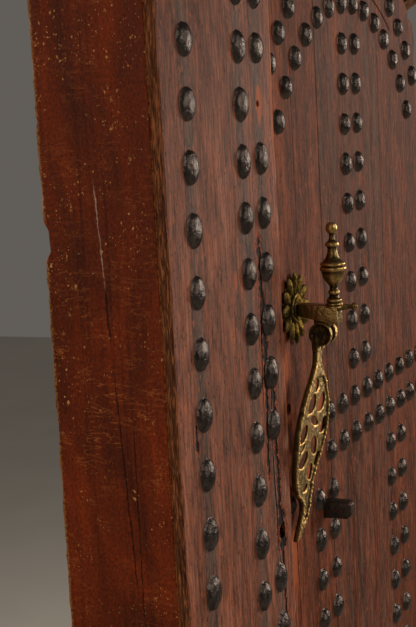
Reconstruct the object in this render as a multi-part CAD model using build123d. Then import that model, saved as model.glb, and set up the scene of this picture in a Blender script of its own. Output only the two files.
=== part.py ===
from build123d import *
import math
import os

os.makedirs("parts", exist_ok=True)

# Millimetres. The door is drawn closed: X across the doorway with the free edge of the leaf at -X, Y into
# the room, Z up from the floor. The leaf is then turned open about its hinge line, as it is seen.

# Leaf
leaf_width = 705.0
leaf_depth = 95.0
leaf_crown = 1824.0
leaf_radius = 556.0
arch_shift = 4.5
shoulder_round = 22.0
board_depth = 30.0
open_joint = 1.2
facing_width = 222.0
facing_depth = 9.0

# Framing behind the boards, widths from the free edge
lock_stile_width = 205.0
stile_lap = 19.0
rail_height = 100.0
bottom_rail_height = 120.0
muntin_width = 80.0
tenon_length = 45.0
tenon_depth = 22.0
tenon_shoulder = 14.0
mortise_room = 2.0
arch_tenon_rise = 30.0
arch_tenon_height = 170.0
far_tenon_drop = 20.0
far_tenon_height = 70.0

# Gaps round the closed leaf
free_gap = 12.0
hinge_gap = 6.0
top_gap = 12.0
foot_gap = 8.0
stop_gap = 2.0

# Frame
frame_depth = 156.0
jamb_width = 110.0
jamb_top = 1680.0
head_over_crown = 100.0
sill_height = 40.0
sill_lip = 15.0
stop_overlap = 15.0
head_stop_overlap = 6.0
jamb_tenon = (50.0, 44.0, 60.0)
foot_tenon_height = 25.0
peg_radius = 8.0
peg_proud = 3.0
anchor_radius = 6.5
anchor_heights = (350.0, 1350.0)

# Ornament in the field beside the facing board: an arch of studs over a square grid of studs
motif_share = 0.4876
motif_under_crown = 355.5
pitches_across = 12.075
inner_arc_pitches = 6.05
inner_arc_room = 19.7
inner_arc_first = 4.2
inner_arc_side = 7
arc_spacing = 43.0
outer_arc_room = 3.5
outer_arc_first = 1.6
outer_arc_side = 7
scribe_spacing = 23.0
scribe_width = 1.4
scribe_depth = 2.0
scribe_start = 40.0
scribe_length = 110.0
side_column_pitches = 2.4625
centre_under_arc = 40.5
centre_pitch = 39.7
band_drop = 154.5
band_spread = 38.0
lower_band_drop = 439.0
foot_row_rise = 68.0

# Studs
stud_sides = 8
row_stud_radius = 13.0
row_stud_height = 8.2
stud_radius = 12.0
stud_height = 7.2

# Rows on the facing board: place from the free edge, drop under the arched edge, and pitch
row_1_line = (45.0, 22.0, 47.5)
row_2_line = (148.0, 33.0, 46.2)
row_3_line = (187.0, 47.5, 45.8)
row_3_lost_drops = (-147.3, 173.3, 219.1)
row_foot_rise = 32.0

# Knocker, measured from the facing board, the spring of the arch and the boards' face
knocker_beside_facing = 18.0
knocker_under_spring = 39.5
rosette_radius = 31.0
rosette_depth = 5.0
rosette_petals = 12
boss_radius = 12.5
boss_depth = 3.0
arm_reach = 45.0
arm_root = (12.0, 11.5)
arm_end = (15.0, 16.0)
arm_drop = 4.7
spike_reach = 62.0
spike_lift = 2.2
spike_knob = 3.2
tang_side = 9.0
tang_behind = 15.0
tang_washer_radius = 15.0
tang_washer_depth = 3.0
tang_nut_side = 22.0
tang_nut_depth = 9.0
finial_out = 40.3
pivot_out = 28.5
pivot_drop = 21.7
pin_radius = 3.0
pin_clearance = 0.05
knuckle_radius = 10.0
knuckle_length = 5.7
lug_width = 8.0
lug_radius = 7.0
fork_depth = 11.5
side_clearance = 0.3
hammer_depth = 5.5
strike_stud_radius = 9.0
strike_shift = -27.0
strike_under_pivot = 155.3
strike_rest_gap = 0.5

# Drop hammer under its pivot: shift sideways, depth, half width, and distance out of its face
hammer_line = (
    (0.0, 3.3, 10.0, 25.5),
    (0.0, 16.3, 7.0, 25.0),
    (-1.5, 31.3, 9.5, 24.5),
    (-5.0, 49.3, 25.0, 23.8),
    (-8.0, 66.3, 36.5, 22.6),
    (-11.5, 89.3, 40.5, 20.2),
    (-14.5, 109.3, 37.0, 17.4),
    (-18.0, 128.3, 28.0, 14.2),
    (-20.5, 145.3, 16.0, 12.0),
    (-22.0, 153.3, 9.0, 11.6),
    (-24.0, 165.3, 8.0, 11.2),
    (-28.5, 177.3, 5.5, 10.0),
    (-33.5, 188.3, 1.6, 8.4),
)

# Pierced leaf work of the hammer: depth under the pivot, sideways places and length of the slots in a row
piercings = (
    (55.3, (-14.0, 14.0), 15.0),
    (72.3, (-25.0, -8.5, 8.5, 25.0), 16.0),
    (95.3, (-30.0, -15.5, 0.0, 15.5, 30.0), 17.0),
    (116.3, (-22.0, -7.5, 7.5, 22.0), 16.0),
    (135.3, (-9.0, 9.0), 14.0),
)
slot_width = 5.0
slot_fan = 1.3
slot_lean = 0.165

# Turned finial on the arm: radius and height over the arm
finial_line = (
    (7.2, 0.0),
    (7.2, 2.6),
    (5.8, 3.4),
    (6.8, 4.6),
    (6.8, 6.6),
    (4.6, 8.6),
    (3.4, 12.6),
    (4.8, 14.2),
    (4.8, 16.2),
    (2.7, 18.6),
    (3.6, 22.0),
    (7.6, 26.5),
    (9.9, 32.0),
    (10.2, 36.0),
    (11.8, 36.8),
    (11.8, 38.8),
    (9.4, 39.8),
    (10.8, 40.8),
    (10.8, 42.8),
    (8.2, 44.0),
    (5.6, 46.5),
    (3.6, 50.0),
    (2.5, 54.5),
    (3.4, 57.0),
    (5.8, 58.0),
    (5.8, 60.2),
    (2.8, 61.6),
    (2.2, 65.0),
    (2.2, 70.4),
)
finial_ball_radius = 4.9

# Square iron peg through the leaf
iron_peg_under_spring = 246.0
iron_peg_side = 16.0
iron_peg_end = 19.0
iron_peg_out = 27.0
iron_peg_burr = 4.0
iron_peg_round = 6.0
iron_peg_behind = 26.0
iron_washer_side = 42.0
iron_washer_depth = 4.0
wedge_depth = 5.0
wedge_length = 52.0
wedge_foot = 6.0
wedge_head = 8.0

# Strap hinges and pintles
top_hinge_under_crown = 234.0
strap_lengths = (150.0, 330.0, 330.0)
strap_first_nail = 40.0
strap_spade_length = 40.0
strap_spade_widest = 24.0
strap_last_nail = 22.0
strap_nail_spacing = 75.0
strap_width = 44.0
strap_depth = 7.0
hinge_line_out = 4.0
eye_radius = 14.0
hinge_pin_radius = 8.0
hinge_pin_clearance = 0.06
thrust_gap = 0.3
collar_height = 14.0
pintle_plate_width = 54.0
pintle_plate_height = 70.0
pin_over_eye = 5.0

# Sliding bolt on the inner face
bolt_under_band = 115.0
bolt_radius = 9.0
bolt_axis_out = 15.0
bolt_tip = 10.0
bolt_tail = 258.0
bolt_grip_from_edge = 128.0
bolt_clearance = 0.3
grip_stem_radius = 5.5
grip_knob_radius = 9.5
grip_out = 38.0
staple_from_edge = (30.0, 172.0)
staple_length = 14.0
staple_wall = 7.0
staple_foot = 17.0
staple_foot_depth = 5.0
keeper_from_opening = 30.0
keeper_clearance = 2.0

# Forged nails that hold the ironwork
nail_radius = 6.5
nail_height = 3.0

# Splits in the facing board: distance from the free edge, depth under the arch's spring, and width
left_split = (
    (175.5, 10.5, 0.4),
    (172.0, 21.5, 1.6),
    (170.5, 54.5, 2.8),
    (168.5, 92.5, 1.6),
    (169.0, 123.5, 0.4),
)
right_split = (
    (188.5, 80.5, 0.4),
    (186.5, 106.5, 1.8),
    (184.0, 142.5, 1.4),
    (185.5, 183.5, 2.6),
    (187.5, 206.5, 2.2),
    (187.0, 234.5, 1.4),
    (191.0, 254.5, 0.4),
)

# Holes left by lost ironwork: distance from the free edge, depth under the arch's spring, and radius
lost_stud_hole_radius = 3.0
torn_hole = (198.0, 225.5, 7.0)
bored_hole = (250.5, 128.5, 5.5)
bored_hole_depth = 22.0

# Worked out from the sizes above
opening_width = leaf_width + free_gap + hinge_gap
free_x = free_gap - opening_width / 2
hinge_x = free_x + leaf_width
room_y = frame_depth / 2
street_y = -frame_depth / 2
panel_y = room_y - leaf_depth
facing_y = panel_y - facing_depth
backing_y = panel_y + board_depth
stop_y = facing_y - stop_gap
leaf_foot = sill_height + foot_gap
arch_x = -arch_shift
arch_z = leaf_crown - leaf_radius
soffit_radius = leaf_radius + top_gap
stop_radius = leaf_radius - head_stop_overlap
head_top = leaf_crown + top_gap + head_over_crown
hinge_axis_x = hinge_x + hinge_line_out
hinge_axis_y = room_y + eye_radius
lock_x = free_x + lock_stile_width
field_width = leaf_width - facing_width
motif_from_edge = facing_width + motif_share * field_width
motif_x = free_x + motif_from_edge
motif_pitch = field_width / pitches_across
half_pitch = motif_pitch / 2
arc_room = motif_from_edge - facing_width - stud_radius
inner_arc_radius = inner_arc_pitches * motif_pitch
outer_arc_radius = inner_arc_radius + arc_spacing
scribe_radius = inner_arc_radius + scribe_spacing
side_column = side_column_pitches * motif_pitch
stile_x = motif_x + side_column - stile_lap
motif_spring = leaf_crown - motif_under_crown
band_upper = motif_spring - band_drop
band_lower = band_upper - band_spread
band_z = (band_upper + band_lower) / 2
lower_band_z = band_z - lower_band_drop
lower_band_rows = (lower_band_z + half_pitch, lower_band_z - half_pitch)
row_foot = leaf_foot + row_foot_rise
backing_middle = (backing_y + room_y) / 2
closed_to_open = Pos(hinge_axis_x, hinge_axis_y, 0) * Rot(0, 0, -90) * Pos(-hinge_axis_x, -hinge_axis_y, 0)


def block(x0, x1, y0, y1, z0, z1):
    """Box between two opposite corners."""
    return Pos((x0 + x1) / 2, (y0 + y1) / 2, (z0 + z1) / 2) * Box(x1 - x0, y1 - y0, z1 - z0)


def slab(face, y0, y1):
    """Upright plate between two depths, from a face drawn in X and Z."""
    return extrude(Plane.XZ.offset(-y1) * face, amount=y1 - y0)


def bar(x, z, wide, high, y0, y1):
    """Square-cornered bar along Y about a centre line."""
    return block(x - wide / 2, x + wide / 2, y0, y1, z - high / 2, z + high / 2)


def street_side(x, y, z):
    """Plane on a face that looks to the street, drawn with X across and Y up."""
    return Plane(origin=(x, y, z), x_dir=(1, 0, 0), z_dir=(0, -1, 0))


def closed_line(*points):
    """Face inside a ring of places."""
    return make_face(Polyline(*points, points[0]))


def through_y(x, z, radius, y0, y1):
    """Round bar along Y."""
    return Pos(x, (y0 + y1) / 2, z) * Rot(90, 0, 0) * Cylinder(radius, y1 - y0)


def through_x(y, z, radius, x0, x1):
    """Round bar along X."""
    return Pos((x0 + x1) / 2, y, z) * Rot(0, 90, 0) * Cylinder(radius, x1 - x0)


def arch_rise(x, radius):
    """Height of the door's arch above a place across the doorway."""
    return arch_z + math.sqrt(radius**2 - (x - arch_x) ** 2)


def arched_face(x0, x1, z0, radius):
    """Outline with upright sides and the door's arched top."""
    middle = (x0 + x1) / 2
    ends = [(x, arch_rise(x, radius)) for x in (x0, middle, x1)]
    return make_face(ThreePointArc(*ends) + Polyline(ends[2], (x1, z0), (x0, z0), ends[0]))


def tenon(x0, x1, z0, z1):
    """Tenon of a rail, in the middle of the framing's depth."""
    return block(x0, x1, backing_middle - tenon_depth / 2, backing_middle + tenon_depth / 2, z0, z1)


def rail(z0, z1):
    """Rail between the stiles, with a tenon at each end."""
    low, high = z0 + tenon_shoulder, z1 - tenon_shoulder
    body = block(lock_x, stile_x, backing_y, room_y, z0, z1)
    body += tenon(lock_x - tenon_length, lock_x, low, high)
    return body + tenon(stile_x, stile_x + tenon_length, low, high)


def mortises(z0, z1):
    """Pockets for the tenons of one rail, a little deeper than the tenons."""
    low, high = z0 + tenon_shoulder, z1 - tenon_shoulder
    reach = tenon_length + mortise_room
    return tenon(lock_x - reach, lock_x, low, high) + tenon(stile_x, stile_x + reach, low, high)


def split_face(line):
    """Outline of a split that runs along a line of places and widths."""
    left = [(free_x + across - width / 2, motif_spring - depth) for across, depth, width in line]
    right = [(free_x + across + width / 2, motif_spring - depth) for across, depth, width in reversed(line)]
    return closed_line(*left, *right)


def stud_head(radius, height):
    """Domed head with hammered flats, seated on its back and pointing up."""
    steps = ((1.0, 0.0), (0.87, 0.45), (0.4, 1.0))
    rings = [Pos(0, 0, height * rise) * RegularPolygon(radius * share, stud_sides) for share, rise in steps]
    return loft(rings, ruled=True)


def studs(places, face_y, radius, height):
    """Studs on an upright face, each turned a little further than the last."""
    head = stud_head(radius, height)
    turned = []
    for number, (across, z) in enumerate(places):
        turned.append(street_side(free_x + across, face_y, z) * Rot(0, 0, 13 * number) * head)
    return turned


def column(across, top, pitch, foot):
    """Places down one column, from its top stud to the last above the foot."""
    count = int((top - foot) / pitch) + 1
    return [(across, top - pitch * number) for number in range(count)]


def edge_row(across, drop, pitch):
    """Places down one row of the facing board, from under the arched edge to the foot."""
    return column(across, arch_rise(free_x + across, leaf_radius) - drop, pitch, row_foot)


def arc_places(radius, angles):
    """Places on a circle about the ornament's centre, angles from upright towards the hinges."""
    turns = [math.radians(angle) for angle in angles]
    return [(motif_from_edge + radius * math.sin(t), motif_spring + radius * math.cos(t)) for t in turns]


def nails(places, face_y, direction):
    """Forged nail heads on an upright face that looks along +Y or -Y."""
    head = extrude(RegularPolygon(nail_radius, 6), amount=nail_height, taper=30)
    seats = [Plane(origin=(x, face_y, z), x_dir=(1, 0, 0), z_dir=(0, direction, 0)) for x, z in places]
    return [seat * Rot(0, 0, 17 * number) * head for number, seat in enumerate(seats)]


# Frame
def make_jamb(side):
    """Jamb with its stop, its tenon into the head and its foot tenon; side is -1 or 1."""
    inner = side * opening_width / 2
    outer = inner + side * jamb_width
    stop_edge = free_x + stop_overlap if side < 0 else hinge_x - stop_overlap
    middle = (inner + outer) / 2
    post = block(min(inner, outer), max(inner, outer), street_y, room_y, sill_height, jamb_top)
    stop = block(min(stop_edge, inner), max(stop_edge, inner), street_y, stop_y, sill_height, jamb_top)
    jamb = post + stop
    jamb += jamb_tenon_at(middle, jamb_top, jamb_tenon[2])
    jamb += jamb_tenon_at(middle, sill_height - foot_tenon_height, foot_tenon_height)
    jamb -= joint_pegs_at(middle, 0.0)
    for height in anchor_heights:
        jamb -= through_x(0.0, height, anchor_radius, min(inner, outer) - 1, max(inner, outer) + 1)
    return jamb


def jamb_tenon_at(middle, z0, height):
    wide, deep = jamb_tenon[:2]
    return block(middle - wide / 2, middle + wide / 2, -deep / 2, deep / 2, z0, z0 + height)


def joint_pegs_at(middle, proud):
    """Two oak pegs through a corner joint."""
    z = jamb_top + jamb_tenon[2] / 2
    return [through_y(middle + dx, z, peg_radius, street_y - proud, room_y + proud) for dx in (-12.5, 12.5)]


jamb_middle = opening_width / 2 + jamb_width / 2
strike_jamb = make_jamb(-1)
hinge_jamb = make_jamb(1)

frame_half = opening_width / 2 + jamb_width
frame_head = block(-frame_half, frame_half, street_y, room_y, jamb_top, head_top)
rebate = arched_face(-opening_width / 2, opening_width / 2, jamb_top - 1, soffit_radius)
passage = arched_face(free_x + stop_overlap, hinge_x - stop_overlap, jamb_top - 1, stop_radius)
frame_head -= slab(rebate, stop_y, room_y + 1)
frame_head -= slab(passage, street_y - 1, stop_y)
for middle in (-jamb_middle, jamb_middle):
    frame_head -= jamb_tenon_at(middle, jamb_top, jamb_tenon[2])
    frame_head -= joint_pegs_at(middle, 1.0)
frame_pegs = joint_pegs_at(-jamb_middle, peg_proud) + joint_pegs_at(jamb_middle, peg_proud)

threshold = block(-frame_half, frame_half, street_y, room_y, 0, sill_height)
lip_ends = (free_x + stop_overlap, hinge_x - stop_overlap)
threshold += block(*lip_ends, street_y, stop_y, sill_height, sill_height + sill_lip)
for middle in (-jamb_middle, jamb_middle):
    threshold -= jamb_tenon_at(middle, sill_height - foot_tenon_height, foot_tenon_height)

# Leaf framing
band_rail_z = (band_z - rail_height / 2, band_z + rail_height / 2)
lower_rail_z = (lower_band_z - rail_height / 2, lower_band_z + rail_height / 2)
bottom_rail_z = (leaf_foot, leaf_foot + bottom_rail_height)
inside_arc = through_y(motif_x, motif_spring, inner_arc_radius - half_pitch, backing_y - 1, room_y + 1)
near_tenon_z = motif_spring + arch_tenon_rise
far_tenon_z = arch_rise(stile_x, leaf_radius) - far_tenon_drop

lock_stile = slab(arched_face(free_x, lock_x, leaf_foot, leaf_radius), panel_y, room_y)
hinge_stile = slab(arched_face(stile_x, hinge_x, leaf_foot, leaf_radius), backing_y, room_y)
pockets = [mortises(*z) for z in (band_rail_z, lower_rail_z, bottom_rail_z)]
near_tenon = tenon(lock_x - tenon_length, lock_x, near_tenon_z, near_tenon_z + arch_tenon_height)
far_tenon = tenon(stile_x, stile_x + tenon_length, far_tenon_z - far_tenon_height, far_tenon_z)
lock_stile = lock_stile - pockets - near_tenon
hinge_stile = hinge_stile - pockets - far_tenon

arched_rail = slab(arched_face(lock_x, stile_x, motif_spring, leaf_radius), backing_y, room_y) - inside_arc
arched_rail = arched_rail + near_tenon + far_tenon
band_rail = rail(*band_rail_z)
lower_rail = rail(*lower_rail_z)
bottom_rail = rail(*bottom_rail_z)


def muntin(x, z0, z1):
    """Upright between two rails, behind a double column of studs."""
    return block(x - muntin_width / 2, x + muntin_width / 2, backing_y, room_y, z0, z1)


centre_muntin = muntin(motif_x, band_rail_z[1], leaf_crown) - arched_rail
centre_muntin = centre_muntin.solids().sort_by(Axis.Z)[0]
side_muntin = muntin(motif_x - side_column - half_pitch, lower_rail_z[1], band_rail_z[0])
lower_muntin = muntin(motif_x, bottom_rail_z[1], lower_rail_z[0])

# Boards
board_ends = (lock_x, motif_x - side_column - open_joint / 2, motif_x + side_column, hinge_x)


def board(x0, x1, y0, y1):
    """Upright board of the leaf, cut to the arch at its top."""
    return slab(arched_face(x0, x1, leaf_foot, leaf_radius), y0, y1)


board_1 = board(board_ends[0], board_ends[1], panel_y, backing_y)
board_2 = board(board_ends[1] + open_joint, board_ends[2], panel_y, backing_y)
board_3 = board(board_ends[2], board_ends[3], panel_y, backing_y)
facing_board = board(free_x, free_x + facing_width, facing_y, panel_y)

scribe_y = (panel_y - 1, panel_y + scribe_depth)
scribed_arc = through_y(motif_x, motif_spring, scribe_radius + scribe_width / 2, *scribe_y)
scribed_arc -= through_y(motif_x, motif_spring, scribe_radius - scribe_width / 2, *scribe_y)
scribe_ends = (motif_x + scribe_start, motif_x + scribe_start + scribe_length)
scribed_arc &= block(*scribe_ends, *scribe_y, motif_spring, leaf_crown)
board_2 -= scribed_arc
board_3 -= scribed_arc

for line in (left_split, right_split):
    facing_board -= slab(split_face(line), facing_y - 1, panel_y)
row_3 = edge_row(*row_3_line)
lost_z = [motif_spring - drop for drop in row_3_lost_drops]
lost_stud = min(row_3, key=lambda place: abs(place[1] - lost_z[0]))
facing_board -= through_y(free_x + lost_stud[0], lost_stud[1], lost_stud_hole_radius, facing_y - 1, panel_y)
across, depth, radius = torn_hole
facing_board -= through_y(free_x + across, motif_spring - depth, radius, facing_y - 1, panel_y)
across, depth, radius = bored_hole
board_1 -= through_y(free_x + across, motif_spring - depth, radius, panel_y - 1, panel_y + bored_hole_depth)

# The upper corner at the hinges is rounded off
corner = (hinge_x, arch_rise(hinge_x, leaf_radius))
centre = (hinge_x - shoulder_round, arch_rise(hinge_x, leaf_radius) - shoulder_round * 0.55)
corner_cut = block(centre[0], hinge_x + 1, panel_y - 1, room_y + 1, centre[1], corner[1] + 40)
corner_cut -= through_y(centre[0], centre[1], shoulder_round, panel_y - 2, room_y + 2)
hinge_stile -= corner_cut
board_3 -= corner_cut

# Stud groups
row_1 = edge_row(*row_1_line)
row_2 = edge_row(*row_2_line)
row_3 = [place for place in row_3 if min(abs(place[1] - z) for z in lost_z) > row_3_line[2] / 2]
inner_last = math.degrees(math.asin((arc_room - inner_arc_room) / inner_arc_radius))
inner_step = (inner_last - inner_arc_first) / (inner_arc_side - 1)
inner_angles = [inner_arc_first + inner_step * k for k in range(inner_arc_side)]
inner_arc = arc_places(inner_arc_radius, [-a for a in inner_angles] + inner_angles)
outer_last = math.degrees(math.asin((arc_room - outer_arc_room) / outer_arc_radius))
outer_step = (outer_last + outer_arc_first) / outer_arc_side
outer_angles = [outer_arc_first + outer_step * k for k in range(-outer_arc_side, outer_arc_side + 1)]
outer_arc = arc_places(outer_arc_radius, outer_angles)


def double_column(sides, top, pitch, count):
    """Places down two columns, at two distances from the ornament's centre line."""
    return [(motif_from_edge + side, top - pitch * k) for side in sides for k in range(count)]


centre_pair = (-half_pitch, half_pitch)
side_pair = (side_column, side_column + motif_pitch)
centre_top = motif_spring + inner_arc_radius - centre_under_arc
centre_count = int((centre_top - band_upper) / centre_pitch + 0.1)
centre_columns = double_column(centre_pair, centre_top, centre_pitch, centre_count)
grid = [motif_from_edge + half_pitch + motif_pitch * k for k in range(-6, 6)]
band = [(across, z) for z in (band_upper, band_lower) for across in grid[3:]]
side_top = band_lower - motif_pitch
side_count = int((side_top - lower_band_rows[0]) / motif_pitch + 0.1)
left_columns = double_column([-side for side in side_pair], side_top, motif_pitch, side_count)
right_columns = double_column(side_pair, side_top, motif_pitch, side_count)
lower_band = [(across, z) for z in lower_band_rows for across in grid]
lower_top = lower_band_rows[1] - motif_pitch
foot_row = leaf_foot + foot_row_rise
lower_count = int((lower_top - foot_row - half_pitch) / motif_pitch) + 1
lower_centre = double_column(centre_pair, lower_top, motif_pitch, lower_count)
foot_studs = [(across, foot_row) for across in grid]

stud_groups = {
    "row_1_studs": studs(row_1, facing_y, row_stud_radius, row_stud_height),
    "row_2_studs": studs(row_2, facing_y, row_stud_radius, row_stud_height),
    "row_3_studs": studs(row_3, facing_y, row_stud_radius, row_stud_height),
    "inner_arc_studs": studs(inner_arc, panel_y, stud_radius, stud_height),
    "outer_arc_studs": studs(outer_arc, panel_y, stud_radius, stud_height),
    "centre_studs": studs(centre_columns, panel_y, stud_radius, stud_height),
    "band_studs": studs(band, panel_y, stud_radius, stud_height),
    "left_column_studs": studs(left_columns, panel_y, stud_radius, stud_height),
    "right_column_studs": studs(right_columns, panel_y, stud_radius, stud_height),
    "lower_band_studs": studs(lower_band, panel_y, stud_radius, stud_height),
    "lower_centre_studs": studs(lower_centre, panel_y, stud_radius, stud_height),
    "foot_studs": studs(foot_studs, panel_y, stud_radius, stud_height),
}

# Knocker: fluted plate, arm with its tang through the board, spike and lug
knocker_from_edge = facing_width + knocker_beside_facing + rosette_radius
knocker_x = free_x + knocker_from_edge
knocker_z = motif_spring - knocker_under_spring
pivot_z = knocker_z - pivot_drop
pivot_y = panel_y - pivot_out
boss_out = rosette_depth + boss_depth
knocker_seat = street_side(knocker_x, panel_y, knocker_z)

flower = Circle(rosette_radius * 0.76)
petal_ring = rosette_radius * 0.74
petal_turn = 360 / rosette_petals
for number in range(rosette_petals):
    flower += Rot(0, 0, petal_turn * number) * Pos(petal_ring, 0) * Circle(rosette_radius - petal_ring)
for number in range(rosette_petals):
    flower -= Rot(0, 0, petal_turn * (number + 0.5)) * Pos(rosette_radius * 0.62, 0) * SlotOverall(11, 3.2)
knocker_plate = knocker_seat * extrude(flower, amount=rosette_depth)
knocker_plate += knocker_seat * extrude(Circle(boss_radius), amount=boss_out, taper=18)
knocker_plate -= bar(knocker_x, knocker_z, tang_side, tang_side, facing_y, panel_y + 1)

arm_sections = [
    knocker_seat * Pos(0, 0, boss_out) * Rectangle(*arm_root),
    knocker_seat * Pos(0, -arm_drop, arm_reach) * Rectangle(*arm_end),
]
tang_end = panel_y + board_depth + tang_behind
tang = bar(knocker_x, knocker_z, tang_side, tang_side, panel_y - boss_out, tang_end)
knocker_arm = loft(arm_sections, ruled=True) + tang
knocker_arm += block(
    knocker_x - lug_width / 2,
    knocker_x + lug_width / 2,
    pivot_y - lug_radius,
    pivot_y + lug_radius,
    pivot_z,
    knocker_z - arm_drop,
)
knocker_arm += through_x(pivot_y, pivot_z, lug_radius, knocker_x - lug_width / 2, knocker_x + lug_width / 2)
spike_ends = [
    knocker_seat * Pos(0, spike_lift, arm_reach) * Rectangle(9, 6),
    knocker_seat * Pos(0, spike_lift + 1, spike_reach - spike_knob) * Rectangle(3, 2.6),
]
knocker_arm += loft(spike_ends, ruled=True)
knocker_arm += knocker_seat * Pos(0, spike_lift + 1.2, spike_reach - spike_knob) * Sphere(spike_knob)
knocker_arm -= through_x(pivot_y, pivot_z, pin_radius, knocker_x - lug_width, knocker_x + lug_width)

fork_inside = lug_width / 2 + side_clearance
fork_outside = fork_inside + knuckle_length
knocker_pin = through_x(pivot_y, pivot_z, pin_radius, knocker_x - fork_outside, knocker_x + fork_outside)

board_back = panel_y + board_depth
nut_y = board_back + tang_washer_depth
knocker_washer = through_y(knocker_x, knocker_z, tang_washer_radius, board_back, nut_y) - tang
knocker_nut = bar(knocker_x, knocker_z, tang_nut_side, tang_nut_side, nut_y, nut_y + tang_nut_depth) - tang
board_1 -= bar(knocker_x, knocker_z, tang_side, tang_side, facing_y, tang_end)

# Finial, fitted to the slope of the arm's top
arm_share = (finial_out - boss_out) / (arm_reach - boss_out)
arm_top = knocker_z - arm_drop * arm_share + (arm_root[1] + (arm_end[1] - arm_root[1]) * arm_share) / 2
finial_top = finial_line[-1][1]
finial_face = closed_line((0, 0), *finial_line, (0, finial_top))
finial_body = revolve(Plane.XZ * finial_face, Axis.Z)
finial_body += Pos(0, 0, finial_top) * Sphere(finial_ball_radius)
finial_body += Pos(0, 0, -1) * Cylinder(finial_line[0][0], 2)
knocker_finial = Pos(knocker_x, panel_y - finial_out, arm_top) * finial_body - knocker_arm


def ribbon(first, second):
    """Face between two smooth lines that run the same way."""
    return make_face(
        Spline(*first) + Line(first[-1], second[-1]) + Spline(*reversed(second)) + Line(second[0], first[0])
    )


# Drop hammer: its outline seen from the street, cut from a plate bent to its side view
left_side = [(knocker_x + shift - half, pivot_z - depth) for shift, depth, half, out in hammer_line]
right_side = [(knocker_x + shift + half, pivot_z - depth) for shift, depth, half, out in hammer_line]
front_line = [(panel_y - out, pivot_z - depth) for shift, depth, half, out in hammer_line]
back_line = [(y + hammer_depth, z) for y, z in front_line]
hammer_span = 2 * max(half for shift, depth, half, out in hammer_line)
bent_plate = Plane.YZ.offset(knocker_x - hammer_span) * ribbon(front_line, back_line)
bent_plate = extrude(bent_plate, amount=2 * hammer_span)
hammer_y = (pivot_y - 2 * knuckle_radius, panel_y)
knocker_hammer = bent_plate & slab(ribbon(left_side, right_side), *hammer_y)

for depth, places, length in piercings:
    row_shift = hammer_line[3][0] - (depth - hammer_line[3][1]) * slot_lean
    for place in places:
        turn = Rot(0, 0, 90 - slot_fan * place)
        slot = Pos(knocker_x + row_shift + place, pivot_z - depth) * turn * SlotOverall(length, slot_width)
        knocker_hammer -= slab(slot, *hammer_y)

neck_y = panel_y - hammer_line[0][3]
for inner, outer in ((-fork_outside, -fork_inside), (fork_inside, fork_outside)):
    knocker_hammer += through_x(pivot_y, pivot_z, knuckle_radius, knocker_x + inner, knocker_x + outer)
    knocker_hammer += block(
        knocker_x + inner,
        knocker_x + outer,
        neck_y,
        neck_y + hammer_depth,
        pivot_z - hammer_line[1][1],
        pivot_z,
    )
knocker_hammer -= block(
    knocker_x - fork_inside,
    knocker_x + fork_inside,
    *hammer_y,
    pivot_z - fork_depth,
    pivot_z + fork_depth,
)
pin_bore = pin_radius + pin_clearance
knocker_hammer -= through_x(pivot_y, pivot_z, pin_bore, knocker_x - hammer_span, knocker_x + hammer_span)

strike_place = [(knocker_from_edge + strike_shift, pivot_z - strike_under_pivot)]
strike_height = hammer_line[9][3] - hammer_depth - strike_rest_gap
strike_stud = studs(strike_place, panel_y, strike_stud_radius, strike_height)

# Iron peg through board and muntin, with its washer and wedge on the room side
iron_peg_x = motif_x - side_column - half_pitch
iron_peg_z = motif_spring - iron_peg_under_spring
peg_plane = street_side(iron_peg_x, panel_y, iron_peg_z)
burred_from = iron_peg_out - iron_peg_burr
peg_sections = [
    Rectangle(iron_peg_side, iron_peg_side),
    Pos(0, 0, burred_from) * Rectangle(iron_peg_end, iron_peg_end),
    Pos(0, 0, iron_peg_out) * Rectangle(iron_peg_end - iron_peg_round, iron_peg_end - iron_peg_round),
]
peg_shank = bar(iron_peg_x, iron_peg_z, iron_peg_side, iron_peg_side, panel_y, room_y + iron_peg_behind)
board_1 -= peg_shank
side_muntin -= peg_shank
wedge_y = room_y + iron_washer_depth
peg_washer = bar(iron_peg_x, iron_peg_z, iron_washer_side, iron_washer_side, room_y, wedge_y) - peg_shank
wedge_face = closed_line(
    (iron_peg_x - wedge_foot / 2, iron_peg_z - wedge_length / 2),
    (iron_peg_x + wedge_foot / 2, iron_peg_z - wedge_length / 2),
    (iron_peg_x + wedge_head / 2, iron_peg_z + wedge_length / 2),
    (iron_peg_x - wedge_head / 2, iron_peg_z + wedge_length / 2),
)
peg_wedge = slab(wedge_face, wedge_y, wedge_y + wedge_depth)
iron_peg = peg_plane * loft(peg_sections, ruled=True) + peg_shank - peg_wedge


# Hinges
def make_strap(height, length):
    """Forged strap with a rolled eye, tapering to a spade end."""
    end = hinge_axis_x - length
    half = strap_width / 2
    outline = closed_line(
        (hinge_axis_x, height - half),
        (end + strap_spade_length, height - half * 0.55),
        (end + strap_spade_widest, height - half * 0.95),
        (end, height),
        (end + strap_spade_widest, height + half * 0.95),
        (end + strap_spade_length, height + half * 0.55),
        (hinge_axis_x, height + half),
    )
    eye = Pos(hinge_axis_x, hinge_axis_y, height)
    strap = slab(outline, room_y, room_y + strap_depth) + eye * Cylinder(eye_radius, strap_width)
    return strap - eye * Cylinder(hinge_pin_radius + hinge_pin_clearance, strap_width + 2)


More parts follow.
